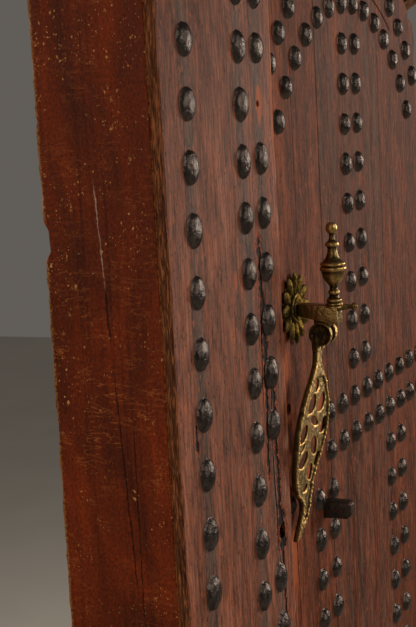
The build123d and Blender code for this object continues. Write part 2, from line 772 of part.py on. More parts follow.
def make_pintle(height):
    """Pin with its collar under the eye, on a plate nailed to the hinge jamb."""
    shoulder = height - strap_width / 2 - thrust_gap
    foot = shoulder - collar_height
    top = height + strap_width / 2 + pin_over_eye
    pin = Pos(hinge_axis_x, hinge_axis_y, (foot + top) / 2) * Cylinder(hinge_pin_radius, top - foot)
    collar = Pos(hinge_axis_x, hinge_axis_y, (foot + shoulder) / 2) * Cylinder(eye_radius, collar_height)
    arm = block(hinge_axis_x, plate_x + 12, room_y + 3, hinge_axis_y, foot, shoulder)
    plate_ends = (plate_x, plate_x + pintle_plate_width)
    plate = block(*plate_ends, room_y, room_y + strap_depth, shoulder - pintle_plate_height, shoulder)
    return pin + collar + arm + plate


hinge_names = ("top", "middle", "bottom")
hinge_heights = (leaf_crown - top_hinge_under_crown, lower_band_z, leaf_foot + bottom_rail_height / 2)
plate_x = hinge_axis_x + eye_radius + 2
straps = {}
pintles = {}
strap_nail_places = []
pintle_nail_places = []
for name, height, length in zip(hinge_names, hinge_heights, strap_lengths):
    straps["strap_" + name] = make_strap(height, length)
    pintles["pintle_" + name] = make_pintle(height)
    reach = length - strap_first_nail - strap_last_nail
    count = 2 + int(reach / strap_nail_spacing)
    for number in range(count):
        share = number / (count - 1)
        side = 1 if number % 2 else -1
        nail_x = hinge_axis_x - strap_first_nail - reach * share
        strap_nail_places.append((nail_x, height + side * 6 * (1 - share)))
    plate_middle = plate_x + pintle_plate_width / 2 + 6
    plate_foot = height - strap_width / 2 - thrust_gap - pintle_plate_height
    for dz in (14, pintle_plate_height - 14):
        pintle_nail_places.append((plate_middle - 12, plate_foot + dz))
        pintle_nail_places.append((plate_middle + 12, plate_foot + dz))
strap_nails = nails(strap_nail_places, room_y + strap_depth, 1)
pintle_nails = nails(pintle_nail_places, room_y + strap_depth, 1)

# Sliding bolt
bolt_z = band_z - bolt_under_band
bolt_y = room_y + bolt_axis_out
bolt_start, bolt_end = free_x + bolt_tip, free_x + bolt_tail
door_bolt = through_x(bolt_y, bolt_z, bolt_radius, bolt_start, bolt_end)
grip_x = free_x + bolt_grip_from_edge
door_bolt += through_y(grip_x, bolt_z, grip_stem_radius, bolt_y, bolt_y + grip_out)
door_bolt += Pos(grip_x, bolt_y + grip_out, bolt_z) * Sphere(grip_knob_radius)


def make_staple(x, clearance):
    """Forged staple: a rounded housing on two nailed feet."""
    half = bolt_radius + staple_wall
    foot = half + staple_foot
    ends = (x - staple_length / 2, x + staple_length / 2)
    body = block(*ends, room_y, bolt_y, bolt_z - half, bolt_z + half)
    body += through_x(bolt_y, bolt_z, half, *ends)
    body &= block(*ends, room_y, bolt_y + half, bolt_z - half, bolt_z + half)
    body += block(*ends, room_y, room_y + staple_foot_depth, bolt_z - foot, bolt_z + foot)
    return body - through_x(bolt_y, bolt_z, bolt_radius + clearance, *ends)


staple_x = [free_x + across for across in staple_from_edge]
bolt_staples = [make_staple(x, bolt_clearance) for x in staple_x]
keeper_x = -opening_width / 2 - keeper_from_opening
bolt_keeper = make_staple(keeper_x, keeper_clearance)
foot_z = bolt_radius + staple_wall + staple_foot / 2
foot_face = room_y + staple_foot_depth
staple_nails = nails([(x, bolt_z + dz) for x in staple_x for dz in (-foot_z, foot_z)], foot_face, 1)
keeper_nails = nails([(keeper_x, bolt_z + dz) for dz in (-foot_z, foot_z)], foot_face, 1)

fixed = {
    "strike_jamb": strike_jamb,
    "hinge_jamb": hinge_jamb,
    "frame_head": frame_head,
    "threshold": threshold,
    "frame_pegs": frame_pegs,
    "pintle_nails": pintle_nails,
    "bolt_keeper": bolt_keeper,
    "keeper_nails": keeper_nails,
    **pintles,
}
swinging = {
    "lock_stile": lock_stile,
    "hinge_stile": hinge_stile,
    "arched_rail": arched_rail,
    "band_rail": band_rail,
    "lower_rail": lower_rail,
    "bottom_rail": bottom_rail,
    "centre_muntin": centre_muntin,
    "side_muntin": side_muntin,
    "lower_muntin": lower_muntin,
    "board_1": board_1,
    "board_2": board_2,
    "board_3": board_3,
    "facing_board": facing_board,
    "strap_nails": strap_nails,
    "knocker_plate": knocker_plate,
    "knocker_arm": knocker_arm,
    "knocker_pin": knocker_pin,
    "knocker_finial": knocker_finial,
    "knocker_washer": knocker_washer,
    "knocker_nut": knocker_nut,
    "knocker_hammer": knocker_hammer,
    "strike_stud": strike_stud,
    "iron_peg": iron_peg,
    "peg_washer": peg_washer,
    "peg_wedge": peg_wedge,
    "door_bolt": door_bolt,
    "bolt_staples": bolt_staples,
    "staple_nails": staple_nails,
    **straps,
    **stud_groups,
}


def solids_of(piece):
    """The separate solids of a piece or a list of pieces."""
    pieces = piece if isinstance(piece, list) else [piece]
    return [solid for item in pieces for solid in item.solids()]


for name, piece in fixed.items():
    export_step(Compound(solids_of(piece)), f"parts/{name}.step")
for name, piece in swinging.items():
    export_step(Compound([closed_to_open * solid for solid in solids_of(piece)]), f"parts/{name}.step")
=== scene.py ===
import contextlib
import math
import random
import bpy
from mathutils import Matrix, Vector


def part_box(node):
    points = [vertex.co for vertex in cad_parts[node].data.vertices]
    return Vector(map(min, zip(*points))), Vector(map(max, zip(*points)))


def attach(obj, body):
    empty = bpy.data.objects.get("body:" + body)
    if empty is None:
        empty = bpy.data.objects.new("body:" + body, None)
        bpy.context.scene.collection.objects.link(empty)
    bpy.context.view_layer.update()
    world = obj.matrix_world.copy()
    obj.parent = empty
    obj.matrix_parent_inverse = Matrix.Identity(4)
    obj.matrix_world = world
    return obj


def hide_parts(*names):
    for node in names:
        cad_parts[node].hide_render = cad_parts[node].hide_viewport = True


bl_info = {
    "name": "Studded plank door",
    "version": (1, 0, 0),
    "blender": (4, 5, 0),
    "location": "View3D > Sidebar > Door",
    "description": "Dresses the packed frame of a studded plank door with its visible pieces",
    "category": "Add Mesh",
}

import bmesh
import bpy
from mathutils import Matrix, Vector

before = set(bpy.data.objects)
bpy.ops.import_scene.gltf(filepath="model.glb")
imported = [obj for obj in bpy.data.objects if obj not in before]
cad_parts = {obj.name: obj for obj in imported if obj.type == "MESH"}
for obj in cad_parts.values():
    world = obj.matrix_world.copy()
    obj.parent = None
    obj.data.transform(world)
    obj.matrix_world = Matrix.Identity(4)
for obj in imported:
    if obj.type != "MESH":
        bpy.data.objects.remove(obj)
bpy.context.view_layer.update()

# Planes and lines of the door that its pieces are measured from
FREE_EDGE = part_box("lock_stile")[1].y
BOARD_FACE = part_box("board_1")[0].x
ROOM_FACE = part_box("lock_stile")[1].x
FACING_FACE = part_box("facing_board")[0].x
FACING_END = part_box("facing_board")[0].y
PIVOT_Z = (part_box("knocker_pin")[0].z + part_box("knocker_pin")[1].z) / 2
ARM_MIDDLE = (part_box("knocker_arm")[0].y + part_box("knocker_arm")[1].y) / 2
# Turns what is made lying flat so that it faces the street
TO_STREET = Matrix.Rotation(math.radians(-90), 4, "Y")
# How far from a plane an edge still counts as on it
NEAR = 0.0002


# Sizes and colours


class DoorTimber(bpy.types.PropertyGroup):
    arris: bpy.props.FloatProperty(
        name="Arris", description="Rounding of the sawn edges", default=0.0025, unit="LENGTH"
    )
    worn_arris: bpy.props.FloatProperty(
        name="Worn arris", description="Wear of the free edge's border", default=0.0016, unit="LENGTH"
    )
    chip: bpy.props.FloatProperty(
        name="Chips", description="How far the worn borders wander", default=0.0007, unit="LENGTH"
    )
    varnish: bpy.props.StringProperty(name="Varnish", description="Varnish of the edge", default="#682608")
    plank: bpy.props.StringProperty(name="Planks", description="Stain of facing and back", default="#6a4436")
    board: bpy.props.StringProperty(name="Boards", description="Stain of the boards", default="#5a3324")
    streak: bpy.props.StringProperty(name="Streaks", description="Red grain of the wood", default="#8a4a30")
    raw: bpy.props.StringProperty(name="Raw side", description="Rubbed side of a board", default="#935836")
    frame_oak: bpy.props.StringProperty(name="Frame", description="Oiled oak of the frame", default="#6a4a35")


class DoorIron(bpy.types.PropertyGroup):
    stud_sides: bpy.props.IntProperty(name="Stud sides", description="Sides of a stud's dome", default=14)
    stud_dents: bpy.props.FloatProperty(name="Stud dents", description="Dents of a dome", default=0.035)
    iron: bpy.props.StringProperty(name="Iron", description="Oiled forged iron", default="#46413e")
    rust: bpy.props.StringProperty(name="Rust", description="Rust in the hollows", default="#3a2418")


class DoorBrass(bpy.types.PropertyGroup):
    petals: bpy.props.IntProperty(name="Petals", description="Petals of the knocker's plate", default=12)
    turns: bpy.props.IntProperty(name="Finial steps", description="Steps round the finial", default=40)
    voxel: bpy.props.FloatProperty(
        name="Casting grain", description="Finest feature of the castings", default=0.0008, unit="LENGTH"
    )
    brass: bpy.props.StringProperty(name="Brass", description="Rubbed brass", default="#c6a262")
    patina_and_shade: bpy.props.StringProperty(name="Patina", description="Film in the hollows", default="#2c2010")


class DoorStage(bpy.types.PropertyGroup):
    lens: bpy.props.FloatProperty(name="Lens", description="Focal length of the camera", default=81.33)
    floor: bpy.props.StringProperty(name="Floor", description="Pale studio floor", default="#cfcac2")
    room: bpy.props.StringProperty(name="Room", description="Light of the empty studio", default="#8d8780")
    key: bpy.props.FloatProperty(name="Key", description="Power of the key light", default=60.0)
    front: bpy.props.FloatProperty(name="Front", description="Power of the front light", default=30.0)
    fill: bpy.props.FloatProperty(name="Fill", description="Power of the fill light", default=26.0)


# Working on meshes


def only(*pieces):
    """Selects these pieces and nothing else; the first is active."""
    bpy.ops.object.select_all(action="DESELECT")
    for piece in pieces:
        piece.select_set(True)
    bpy.context.view_layer.objects.active = pieces[0]
    return pieces[0]


@contextlib.contextmanager
def editing(piece, mode="VERT"):
    """Edit mode on one piece."""
    only(piece)
    bpy.ops.object.mode_set(mode="EDIT")
    bpy.ops.mesh.select_mode(type=mode)
    try:
        yield piece
    finally:
        bpy.ops.object.mode_set(mode="OBJECT")


def start(operator, **settings):
    """Adds one primitive with nothing else selected."""
    bpy.ops.object.select_all(action="DESELECT")
    operator(**settings)
    return bpy.context.active_object


def loose_copy(source):
    """Copy of a piece with its own mesh."""
    piece = bpy.data.objects.new("copy", source.data.copy())
    bpy.context.scene.collection.objects.link(piece)
    return piece


def middle_of(edge):
    """Middle of an edge."""
    return sum((v.co for v in edge.verts), Vector()) / len(edge.verts)


def pick(piece, test, kind="verts"):
    """Selects, in edit mode, the vertices, edges or faces that pass a test."""
    bpy.ops.mesh.select_all(action="DESELECT")
    mesh = bmesh.from_edit_mesh(piece.data)
    for item in getattr(mesh, kind):
        if test(item):
            item.select_set(True)
    mesh.select_flush_mode()
    bmesh.update_edit_mesh(piece.data)


def finished(piece, name, material, body, slot, *nodes):
    """Names a piece, gives it its material and fixes it to its body of the frame."""
    only(piece)
    bpy.ops.object.transform_apply(location=True, rotation=True, scale=True)
    piece.name = name
    piece.data.name = name
    piece.data.materials.clear()
    piece.data.materials.append(material)
    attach(piece, body)
    if nodes:
        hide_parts(*nodes)
    return piece


def apply_modifier(piece, kind, **settings):
    """Adds one modifier, sets it and applies it."""
    only(piece)
    modifier = piece.modifiers.new(kind.title(), kind)
    for key, value in settings.items():
        setattr(modifier, key, value)
    bpy.ops.object.modifier_apply(modifier=modifier.name)


def soften(piece, width, segments=2, angle=32, smooth=True):
    """Rounds the sharp edges of a piece."""
    apply_modifier(
        piece,
        "BEVEL",
        width=width,
        segments=segments,
        limit_method="ANGLE",
        angle_limit=math.radians(angle),
        use_clamp_overlap=True,
    )
    only(piece)
    if smooth:
        bpy.ops.object.shade_smooth_by_angle(angle=math.radians(40))
    else:
        bpy.ops.object.shade_flat()


def add_block(low, high):
    """Cube between two corners."""
    low, high = Vector(low), Vector(high)
    block = start(bpy.ops.mesh.primitive_cube_add, size=1, location=(low + high) / 2)
    block.scale = high - low
    bpy.ops.object.transform_apply(location=True, rotation=True, scale=True)
    return block


def cad_copy(node):
    """Merged copy of a CAD node's mesh, as one loose piece."""
    piece = loose_copy(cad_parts[node])
    piece.data.materials.clear()
    with editing(piece):
        bpy.ops.mesh.select_all(action="SELECT")
        bpy.ops.mesh.remove_doubles(threshold=0.00001)
    return piece


def flat_copy(node):
    """Merged copy of a CAD node with its flat faces whole."""
    piece = cad_copy(node)
    with editing(piece):
        bpy.ops.mesh.select_all(action="SELECT")
        bpy.ops.mesh.dissolve_limited(angle_limit=math.radians(0.6))
    return piece


def slice_along(piece, axis, start, stop, step):
    """Cuts a piece across at even steps, so that its long edges can wander."""
    normal = Vector([1.0 if i == axis else 0.0 for i in range(3)])
    with editing(piece):
        for number in range(int((stop - start) / step) + 1):
            bpy.ops.mesh.select_all(action="SELECT")
            place = normal * (start + number * step)
            bpy.ops.mesh.bisect(plane_co=place, plane_no=normal)


def joined(pieces):
    """Joins loose pieces into one."""
    only(*pieces)
    if len(pieces) > 1:
        bpy.ops.object.join()
    return bpy.context.active_object


def melt(piece, grain, rounds):
    """Melts the parts of a casting into one skin, as fine as its grain, and smooths it."""
    apply_modifier(piece, "REMESH", mode="VOXEL", voxel_size=grain)
    apply_modifier(piece, "SMOOTH", factor=0.5, iterations=rounds)
    only(piece)
    bpy.ops.object.shade_smooth()


# Materials


def linear(text, alpha=1.0):
    """Linear colour from an sRGB hex value."""
    values = [int(text[i : i + 2], 16) / 255 for i in (1, 3, 5)]
    return (*[v / 12.92 if v <= 0.04045 else ((v + 0.055) / 1.055) ** 2.4 for v in values], alpha)


def wire(tree, socket, value):
    """Feeds a socket from a number, a hex colour, a coordinate's name, a node or one of its outputs."""
    if isinstance(value, str) and value.startswith("#"):
        socket.default_value = linear(value)
    elif isinstance(value, str):
        tree.links.new(tree.nodes["coordinates"].outputs[value], socket)
    elif isinstance(value, bpy.types.Node):
        tree.links.new(value.outputs[0], socket)
    elif isinstance(value, tuple) and isinstance(value[0], bpy.types.Node):
        tree.links.new(value[0].outputs[value[1]], socket)
    else:
        socket.default_value = value


def add(material, kind, inputs=None, ramp=None, **settings):
    """Adds one shader node with its settings and links."""
    tree = material.node_tree
    node = tree.nodes.new("ShaderNode" + kind)
    for key, value in settings.items():
        setattr(node, key, value)
    for key, value in (inputs or {}).items():
        wire(tree, node.inputs[key], value)
    if ramp:
        elements = node.color_ramp.elements
        while len(elements) < len(ramp):
            elements.new(0.5)
        for element, (place, tone) in zip(elements, ramp):
            element.position = place
            element.color = linear(tone) if isinstance(tone, str) else (tone, tone, tone, 1)
    return node


def new_material(name):
    """Material with nothing in it yet but the coordinates that its patterns read."""
    material = bpy.data.materials.new(name)
    material.use_nodes = True
    material.node_tree.nodes.clear()
    add(material, "TexCoord", name="coordinates")
    return material


def surface(material, **inputs):
    """Principled surface wired to the material's output."""
    shader = add(material, "BsdfPrincipled", {key.replace("_", " "): value for key, value in inputs.items()})
    add(material, "OutputMaterial", {"Surface": shader})
    return material


def shade(text, factor):
    """Hex colour made lighter or darker."""
    values = [min(255, round(int(text[i : i + 2], 16) * factor)) for i in (1, 3, 5)]
    return "#%02x%02x%02x" % tuple(values)


def shades(text, *steps):
    """Ramp of one colour's shades, from each step's place and factor."""
    return [(place, shade(text, factor)) for place, factor in steps]


def stretched(material, across_mm, along_mm, grain, shift=(0, 0, 0)):
    """Object coordinates scaled so that one unit is a width across the grain and a length along it."""
    scale = [1000 / across_mm] * 3
    scale["XYZ".index(grain)] = 1000 / along_mm
    return add(material, "Mapping", {"Vector": "Object", "Scale": scale, "Location": shift})


def grain_noise(material, across_mm, along_mm, grain, detail=4.0, shift=(0, 0, 0), distortion=0.0):
    """Noise drawn out along the grain."""
    place = stretched(material, across_mm, along_mm, grain, shift)
    settings = {"Vector": place, "Scale": 1.0, "Detail": detail, "Roughness": 0.6, "Distortion": distortion}
    return add(material, "TexNoise", settings)


def painted(material, colour, tint, mask, begin=None, full=1.0, most=1.0):
    """Lays a tint over a colour by a mask, or by how far the mask's value is from its begin to its full."""
    if begin is not None:
        mask = add(material, "MapRange", {"Value": mask, "From Min": begin, "From Max": full, "To Max": most})
    return (add(material, "Mix", {0: mask, 6: colour, 7: tint}, data_type="RGBA"), 2)


def mottled(material, colour, strength, value, *steps):
    """Darkens and lightens a colour along a value, by each step's place and factor."""
    tones = add(material, "ValToRGB", {"Fac": value}, ramp=steps)
    inputs = {0: strength, 6: colour, 7: tones}
    return (add(material, "Mix", inputs, data_type="RGBA", blend_type="MULTIPLY"), 2)


def measured(material, axis, place, reach):
    """One at a place along an axis, falling to nothing at its reach either side."""
    parts = add(material, "SeparateXYZ", {"Vector": "Object"})
    offset = add(material, "Math", {0: (parts, "XYZ".index(axis)), 1: place}, operation="SUBTRACT")
    away = add(material, "Math", {0: offset}, operation="ABSOLUTE")
    ends = {"Value": away, "From Max": reach, "To Min": 1.0, "To Max": 0.0}
    return add(material, "MapRange", ends, interpolation_type="SMOOTHSTEP")


def patch(material, middle, reach, ragged=0.5):
    """Ragged spot about a place, with its reach along each axis."""
    rough = add(material, "TexNoise", {"Vector": "Object", "Scale": 1000 / 6.25, "Detail": 4.0})
    scale = [1 / size for size in reach]
    shift = [-place / size for place, size in zip(middle, reach)]
    place = add(material, "Mapping", {"Vector": "Object", "Scale": scale, "Location": shift})
    ball = add(material, "TexGradient", {"Vector": place}, gradient_type="SPHERICAL")
    torn = add(material, "Math", {0: rough, 1: ragged, 2: -ragged / 2}, operation="MULTIPLY_ADD")
    total = add(material, "Math", {0: ball, 1: torn}, operation="ADD")
    return add(material, "MapRange", {"Value": total, "From Min": 0.18, "From Max": 0.42})


def crack(material, axis, line, width, wander):
    """Ragged split that wanders along a line of place and height, thinning to its ends."""
    (x0, z0), (x1, z1) = line
    parts = add(material, "SeparateXYZ", {"Vector": "Object"})
    side, height = (parts, "XYZ".index(axis)), (parts, 2)
    slope = (x1 - x0) / (z1 - z0)
    straight = add(material, "Math", {0: height, 1: slope, 2: x0 - slope * z0}, operation="MULTIPLY_ADD")
    # It sways every 18 mm, and its sides are torn every 5 mm
    sways = {"W": height, "Scale": 55.0, "Detail": 6.0, "Roughness": 0.7}
    sways = add(material, "TexNoise", sways, noise_dimensions="1D")
    sway = add(material, "Math", {0: sways, 1: wander * 2, 2: -wander}, operation="MULTIPLY_ADD")
    middle = add(material, "Math", {0: straight, 1: sway}, operation="ADD")
    offset = add(material, "Math", {0: side, 1: middle}, operation="SUBTRACT")
    away = add(material, "Math", {0: offset}, operation="ABSOLUTE")
    torn = add(material, "TexNoise", {"Vector": "Object", "Scale": 210.0, "Detail": 4.0})
    reach = add(material, "Math", {0: torn, 1: width * 4.0, 2: -width}, operation="MULTIPLY_ADD")
    near = add(material, "MapRange", {"Value": away, "From Max": reach, "To Min": 1.0, "To Max": 0.0})
    ends = measured(material, "Z", (z0 + z1) / 2, abs(z1 - z0) / 2)
    open_part = add(material, "Math", {0: ends, 1: 4.0}, operation="MULTIPLY", use_clamp=True)
    return add(material, "Math", {0: near, 1: open_part}, operation="MULTIPLY")


def highest(material, masks):
    """Largest of several masks."""
    total = masks[0]
    for mask in masks[1:]:
        total = add(material, "Math", {0: total, 1: mask}, operation="MAXIMUM")
    return total


# Wood that has lost its stain, and how far from a row of studs it has gone grey
GREY_WOOD = "#54463f"
BARE_WOOD = "#9c5230"
TORN_WOOD = "#96482a"
RAW_SHADOW = "#3a1d11"
SPLIT = "#0c0503"
GREY_REACH = 0.024


def stained_planks(
    name, plank, streak, grain="Z",
    weathered=(), grey=0.75, bare=(), splits=(), warm=None, edge=None, gleam=0.03,
):
    """Sawn wood, stained or oiled: fine dark grain, and redder wood worn through a thin brown coat.

    Under rows of studs the stain has gone grey, and knocks have left bare orange wood and dark splits.
    """
    material = new_material(name)
    # The stain changes over 30 mm of a board's width, and the red wood shows through in 5 mm streaks
    stain = grain_noise(material, 30, 260, grain, 5, distortion=0.4)
    tones = shades(plank, (0.34, 0.74), (0.5, 1.0), (0.64, 1.22))
    colour = add(material, "ValToRGB", {"Fac": stain}, ramp=tones)
    worn = grain_noise(material, 5, 48, grain, 7, (3, 7, 1), 0.6)
    worn_mask = add(material, "ValToRGB", {"Fac": worn}, ramp=[(0.44, 0.0), (0.68, 0.75)])
    if weathered:
        rows = highest(material, [measured(material, "Y", place, GREY_REACH) for place in weathered])
        patchy = grain_noise(material, 9, 60, grain, 5, (6, 2, 8))
        spread = add(material, "Math", {0: rows, 1: patchy}, operation="MULTIPLY")
        ends = {"Value": spread, "From Min": 0.18, "From Max": 0.46, "To Max": grey}
        grey_mask = add(material, "MapRange", ends)
        kept = add(material, "Math", {0: 1.0, 1: grey_mask}, operation="SUBTRACT")
        worn_mask = add(material, "Math", {0: worn_mask, 1: kept}, operation="MULTIPLY")
        colour = painted(material, colour, GREY_WOOD, grey_mask)
    if warm:
        # The boards are painted lighter and redder in patches along a strip
        near = measured(material, "Y", *warm)
        strip_patches = grain_noise(material, 14, 60, grain, 5, (8, 3, 2))
        redder_strip = add(material, "Math", {0: near, 1: strip_patches}, operation="MULTIPLY")
        colour = painted(material, colour, shade(streak, 1.05), redder_strip, 0.2, 0.55, 0.8)
    colour = painted(material, colour, streak, worn_mask)
    # Fibres and pores are finer on the real boards and are drawn as coarse as they need to show
    fibre = grain_noise(material, 3.4, 36, grain, 6, (9, 1, 5))
    colour = mottled(material, colour, 0.9, fibre, (0.36, 0.5), (0.48, 0.97), (0.62, 1.4))
    smudge = grain_noise(material, 10, 34, grain, 5, (1, 6, 3), 0.8)
    colour = mottled(material, colour, 0.85, smudge, (0.34, 0.55), (0.5, 1.0), (0.66, 1.3))
    pores = grain_noise(material, 3.0, 4.2, grain, 6, (2, 8, 3))
    colour = mottled(material, colour, 0.9, pores, (0.33, 0.25), (0.43, 1.0))
    fleck = grain_noise(material, 3.5, 10, grain, 4, (5, 5, 9))
    colour = painted(material, colour, shade(streak, 1.3), fleck, 0.58, 0.70, 0.7)
    height = add(material, "Math", {0: fibre, 1: pores}, operation="ADD")
    if edge:
        # The sawn side is rubbed bare, and the border beside the next board gets a pale rim that is a painted
        # highlight
        facing = add(material, "SeparateXYZ", {"Vector": "Normal"})
        lines = grain_noise(material, 1.6, 15, "Z", 7, (4, 4, 4), 1.0)
        tones = [(0.36, RAW_SHADOW)] + shades(edge, (0.5, 0.66), (0.64, 1.12))
        fibres = add(material, "ValToRGB", {"Fac": lines}, ramp=tones)
        colour = painted(material, colour, fibres, (facing, 1), 0.35, 0.8)
        # Painted highlight: a pale rim along the arris beside the next board, broken up by the worn streaks
        near = measured(material, "Y", FACING_END, 0.004)
        far = add(material, "Math", {0: near, 1: worn}, operation="MULTIPLY")
        colour = painted(material, colour, shade(edge, 1.3), far, 0.20, 0.40, 0.8)
    if bare:
        torn = highest(material, [patch(material, *place) for place in bare])
        colour = painted(material, colour, BARE_WOOD, torn)
    if splits:
        dark = highest(material, [crack(material, "Y", *split) for split in splits])
        colour = painted(material, colour, TORN_WOOD, dark, 0.0, 0.35, 0.75)
        colour = painted(material, colour, SPLIT, dark, 0.35, 0.6)
        height = add(material, "Math", {0: dark, 1: -5.0, 2: height}, operation="MULTIPLY_ADD")
    bump = add(material, "Bump", {"Height": height, "Strength": 0.6, "Distance": 0.0010})
    gloss = add(material, "MapRange", {"Value": fibre, "To Min": 0.5, "To Max": 0.8})
    return surface(material, Base_Color=colour, Roughness=gloss, Normal=bump, Specular_IOR_Level=gleam)


# Height at which most of the varnish has flaked, and how far up and down from it, in metres
FLAKED = (1.41, 0.14)
# Chips of the varnish: size in mm, share of its cells that stay whole, shift of its pattern
CHIPS = ((2.0, 0.70, 0.0), (3.4, 0.72, 3.3), (6.5, 0.82, 7.1))
# Cracks of the free edge and its pale scratch: ends as place and height, width, wander, in metres
EDGE_CRACKS = (
    (((0.2960, 1.490), (0.2938, 1.440)), 0.0011, 0.0012),
    (((0.2940, 1.446), (0.2830, 1.232)), 0.0009, 0.0012),
    (((0.2790, 1.400), (0.2800, 1.200)), 0.0007, 0.0010),
)
EDGE_SCRATCH = (((0.3004, 1.572), (0.2955, 1.480)), 0.0007, 0.0012)


def varnished_edge(name, varnish):
    """Old red-brown varnish brushed on a sawn beam: dull gloss, chipped to the bare wood in specks."""
    material = new_material(name)
    cloud = grain_noise(material, 40, 150, "Z", 6, distortion=0.8)
    tones = shades(varnish, (0.30, 0.72), (0.52, 1.0), (0.70, 1.25))
    colour = add(material, "ValToRGB", {"Fac": cloud}, ramp=tones)
    streaks = grain_noise(material, 4, 180, "Z", 5, (1, 4, 2))
    colour = mottled(material, colour, 0.8, streaks, (0.32, 0.55), (0.46, 1.0), (0.8, 1.2))
    grit = grain_noise(material, 1.8, 2.8, "Z", 5, (5, 2, 9))
    colour = mottled(material, colour, 0.8, grit, (0.34, 0.50), (0.5, 1.0), (0.66, 1.55))
    # Flaked varnish leaves thin pale outlines, which are the level lines of a noise
    flakes = grain_noise(material, 26, 6, "Z", 5, (5, 2, 9), 0.6)
    rise = add(material, "Math", {0: flakes, 1: 0.5}, operation="SUBTRACT")
    level = add(material, "Math", {0: rise}, operation="ABSOLUTE")
    outlines = add(material, "MapRange", {"Value": level, "From Max": 0.022, "To Min": 0.85, "To Max": 0.0})
    patches = grain_noise(material, 30, 30, "Z", 4, (7, 7, 1))
    patches = add(material, "ValToRGB", {"Fac": patches}, ramp=[(0.46, 0.0), (0.58, 1.0)])
    spread = add(material, "Math", {0: measured(material, "Z", *FLAKED), 1: 0.35}, operation="MAXIMUM")
    where = add(material, "Math", {0: patches, 1: spread}, operation="MULTIPLY")
    scuffs = add(material, "Math", {0: outlines, 1: where}, operation="MULTIPLY")
    colour = painted(material, colour, "#b96a34", scuffs)
    # Chips down to the wood stand close together in places
    chips = []
    fine = stretched(material, 2.5, 2.5, "Z")
    jitter = add(material, "TexNoise", {"Vector": fine, "Scale": 1.0, "Detail": 3.0})
    for size, share, shift in CHIPS:
        cells = stretched(material, size, size * 1.2, "Z", (shift, shift, shift))
        moved = {0: (jitter, 1), 1: (0.9, 0.9, 0.9), 2: cells}
        cells = add(material, "VectorMath", moved, operation="MULTIPLY_ADD")
        speck = add(material, "TexVoronoi", {"Vector": cells, "Scale": 1.0, "Randomness": 1.0})
        ends = {"Value": (speck, 0), "From Min": 0.12, "From Max": 0.24, "To Min": 1.0, "To Max": 0.0}
        near = add(material, "MapRange", ends)
        parts = add(material, "SeparateColor", {"Color": (speck, 1)})
        rare = add(material, "Math", {0: parts, 1: share}, operation="GREATER_THAN")
        chips.append(add(material, "Math", {0: near, 1: rare}, operation="MULTIPLY"))
    crowd = grain_noise(material, 24, 30, "Z", 3, (2, 9, 4))
    crowd = add(material, "ValToRGB", {"Fac": crowd}, ramp=[(0.50, 0.0), (0.60, 1.0)])
    chipped = add(material, "Math", {0: highest(material, chips), 1: crowd}, operation="MULTIPLY")
    colour = painted(material, colour, "#d99a58", chipped)
    # Both borders are rubbed through
    edges = [measured(material, "X", ROOM_FACE, 0.007), measured(material, "X", BOARD_FACE, 0.0022)]
    corner = measured(material, "Y", FREE_EDGE, 0.005)
    border = add(material, "Math", {0: highest(material, edges), 1: corner}, operation="MULTIPLY")
    ragged = add(material, "Math", {0: border, 1: grit}, operation="MULTIPLY")
    colour = painted(material, colour, "#9a6a38", ragged, 0.34, 0.48, 0.85)
    dark = highest(material, [crack(material, "X", *line) for line in EDGE_CRACKS])
    light = crack(material, "X", *EDGE_SCRATCH)
    light = add(material, "Math", {0: light, 1: grit}, operation="MULTIPLY")
    colour = painted(material, colour, "#150805", dark)
    colour = painted(material, colour, "#dccbb8", light)
    fibre = grain_noise(material, 1.6, 40, "Z", 3, (9, 1, 5))
    height = add(material, "Math", {0: fibre, 1: grit}, operation="ADD")
    height = add(material, "Math", {0: dark, 1: -4.0, 2: height}, operation="MULTIPLY_ADD")
    bump = add(material, "Bump", {"Height": height, "Strength": 0.45, "Distance": 0.0008})
    gloss = add(material, "MapRange", {"Value": cloud, "To Min": 0.40, "To Max": 0.66})
    return surface(material, Base_Color=colour, Roughness=gloss, Normal=bump, Specular_IOR_Level=0.14)


def forged_iron(name, iron, rust, rough=0.2, rusty=0.3):
    """Forged iron, oiled and rubbed: dark grey metal, pitted, with brown rust in the hollows."""
    material = new_material(name)
    # Clouded every 9 mm, pitted every 2 mm and dented every 4.5 mm
    patches = {"Vector": "Object", "Scale": 1000 / 9, "Detail": 6.0, "Roughness": 0.7}
    patches = add(material, "TexNoise", patches)
    pits = {"Vector": "Object", "Scale": 1000 / 2.2, "Detail": 5.0, "Roughness": 0.6}
    pits = add(material, "TexNoise", pits)
    dents = add(material, "TexVoronoi", {"Vector": "Object", "Scale": 1000 / 4.5}, feature="SMOOTH_F1")
    tones = shades(iron, (0.34, 0.72), (0.5, 1.0), (0.64, 1.2))
    colour = add(material, "ValToRGB", {"Fac": patches}, ramp=tones)
    colour = painted(material, colour, rust, pits, 0.52, 0.34, rusty * 2.4)
    height = add(material, "Math", {0: pits, 1: (dents, 0)}, operation="ADD")
    bump = add(material, "Bump", {"Height": height, "Strength": 0.75, "Distance": 0.0008})
    gloss = add(material, "MapRange", {"Value": pits, "To Min": rough - 0.08, "To Max": rough + 0.14})
    looks = {"Base_Color": colour, "Roughness": gloss, "Normal": bump}
    return surface(material, Metallic=0.8, Specular_Tint="#b6b4b4", **looks)


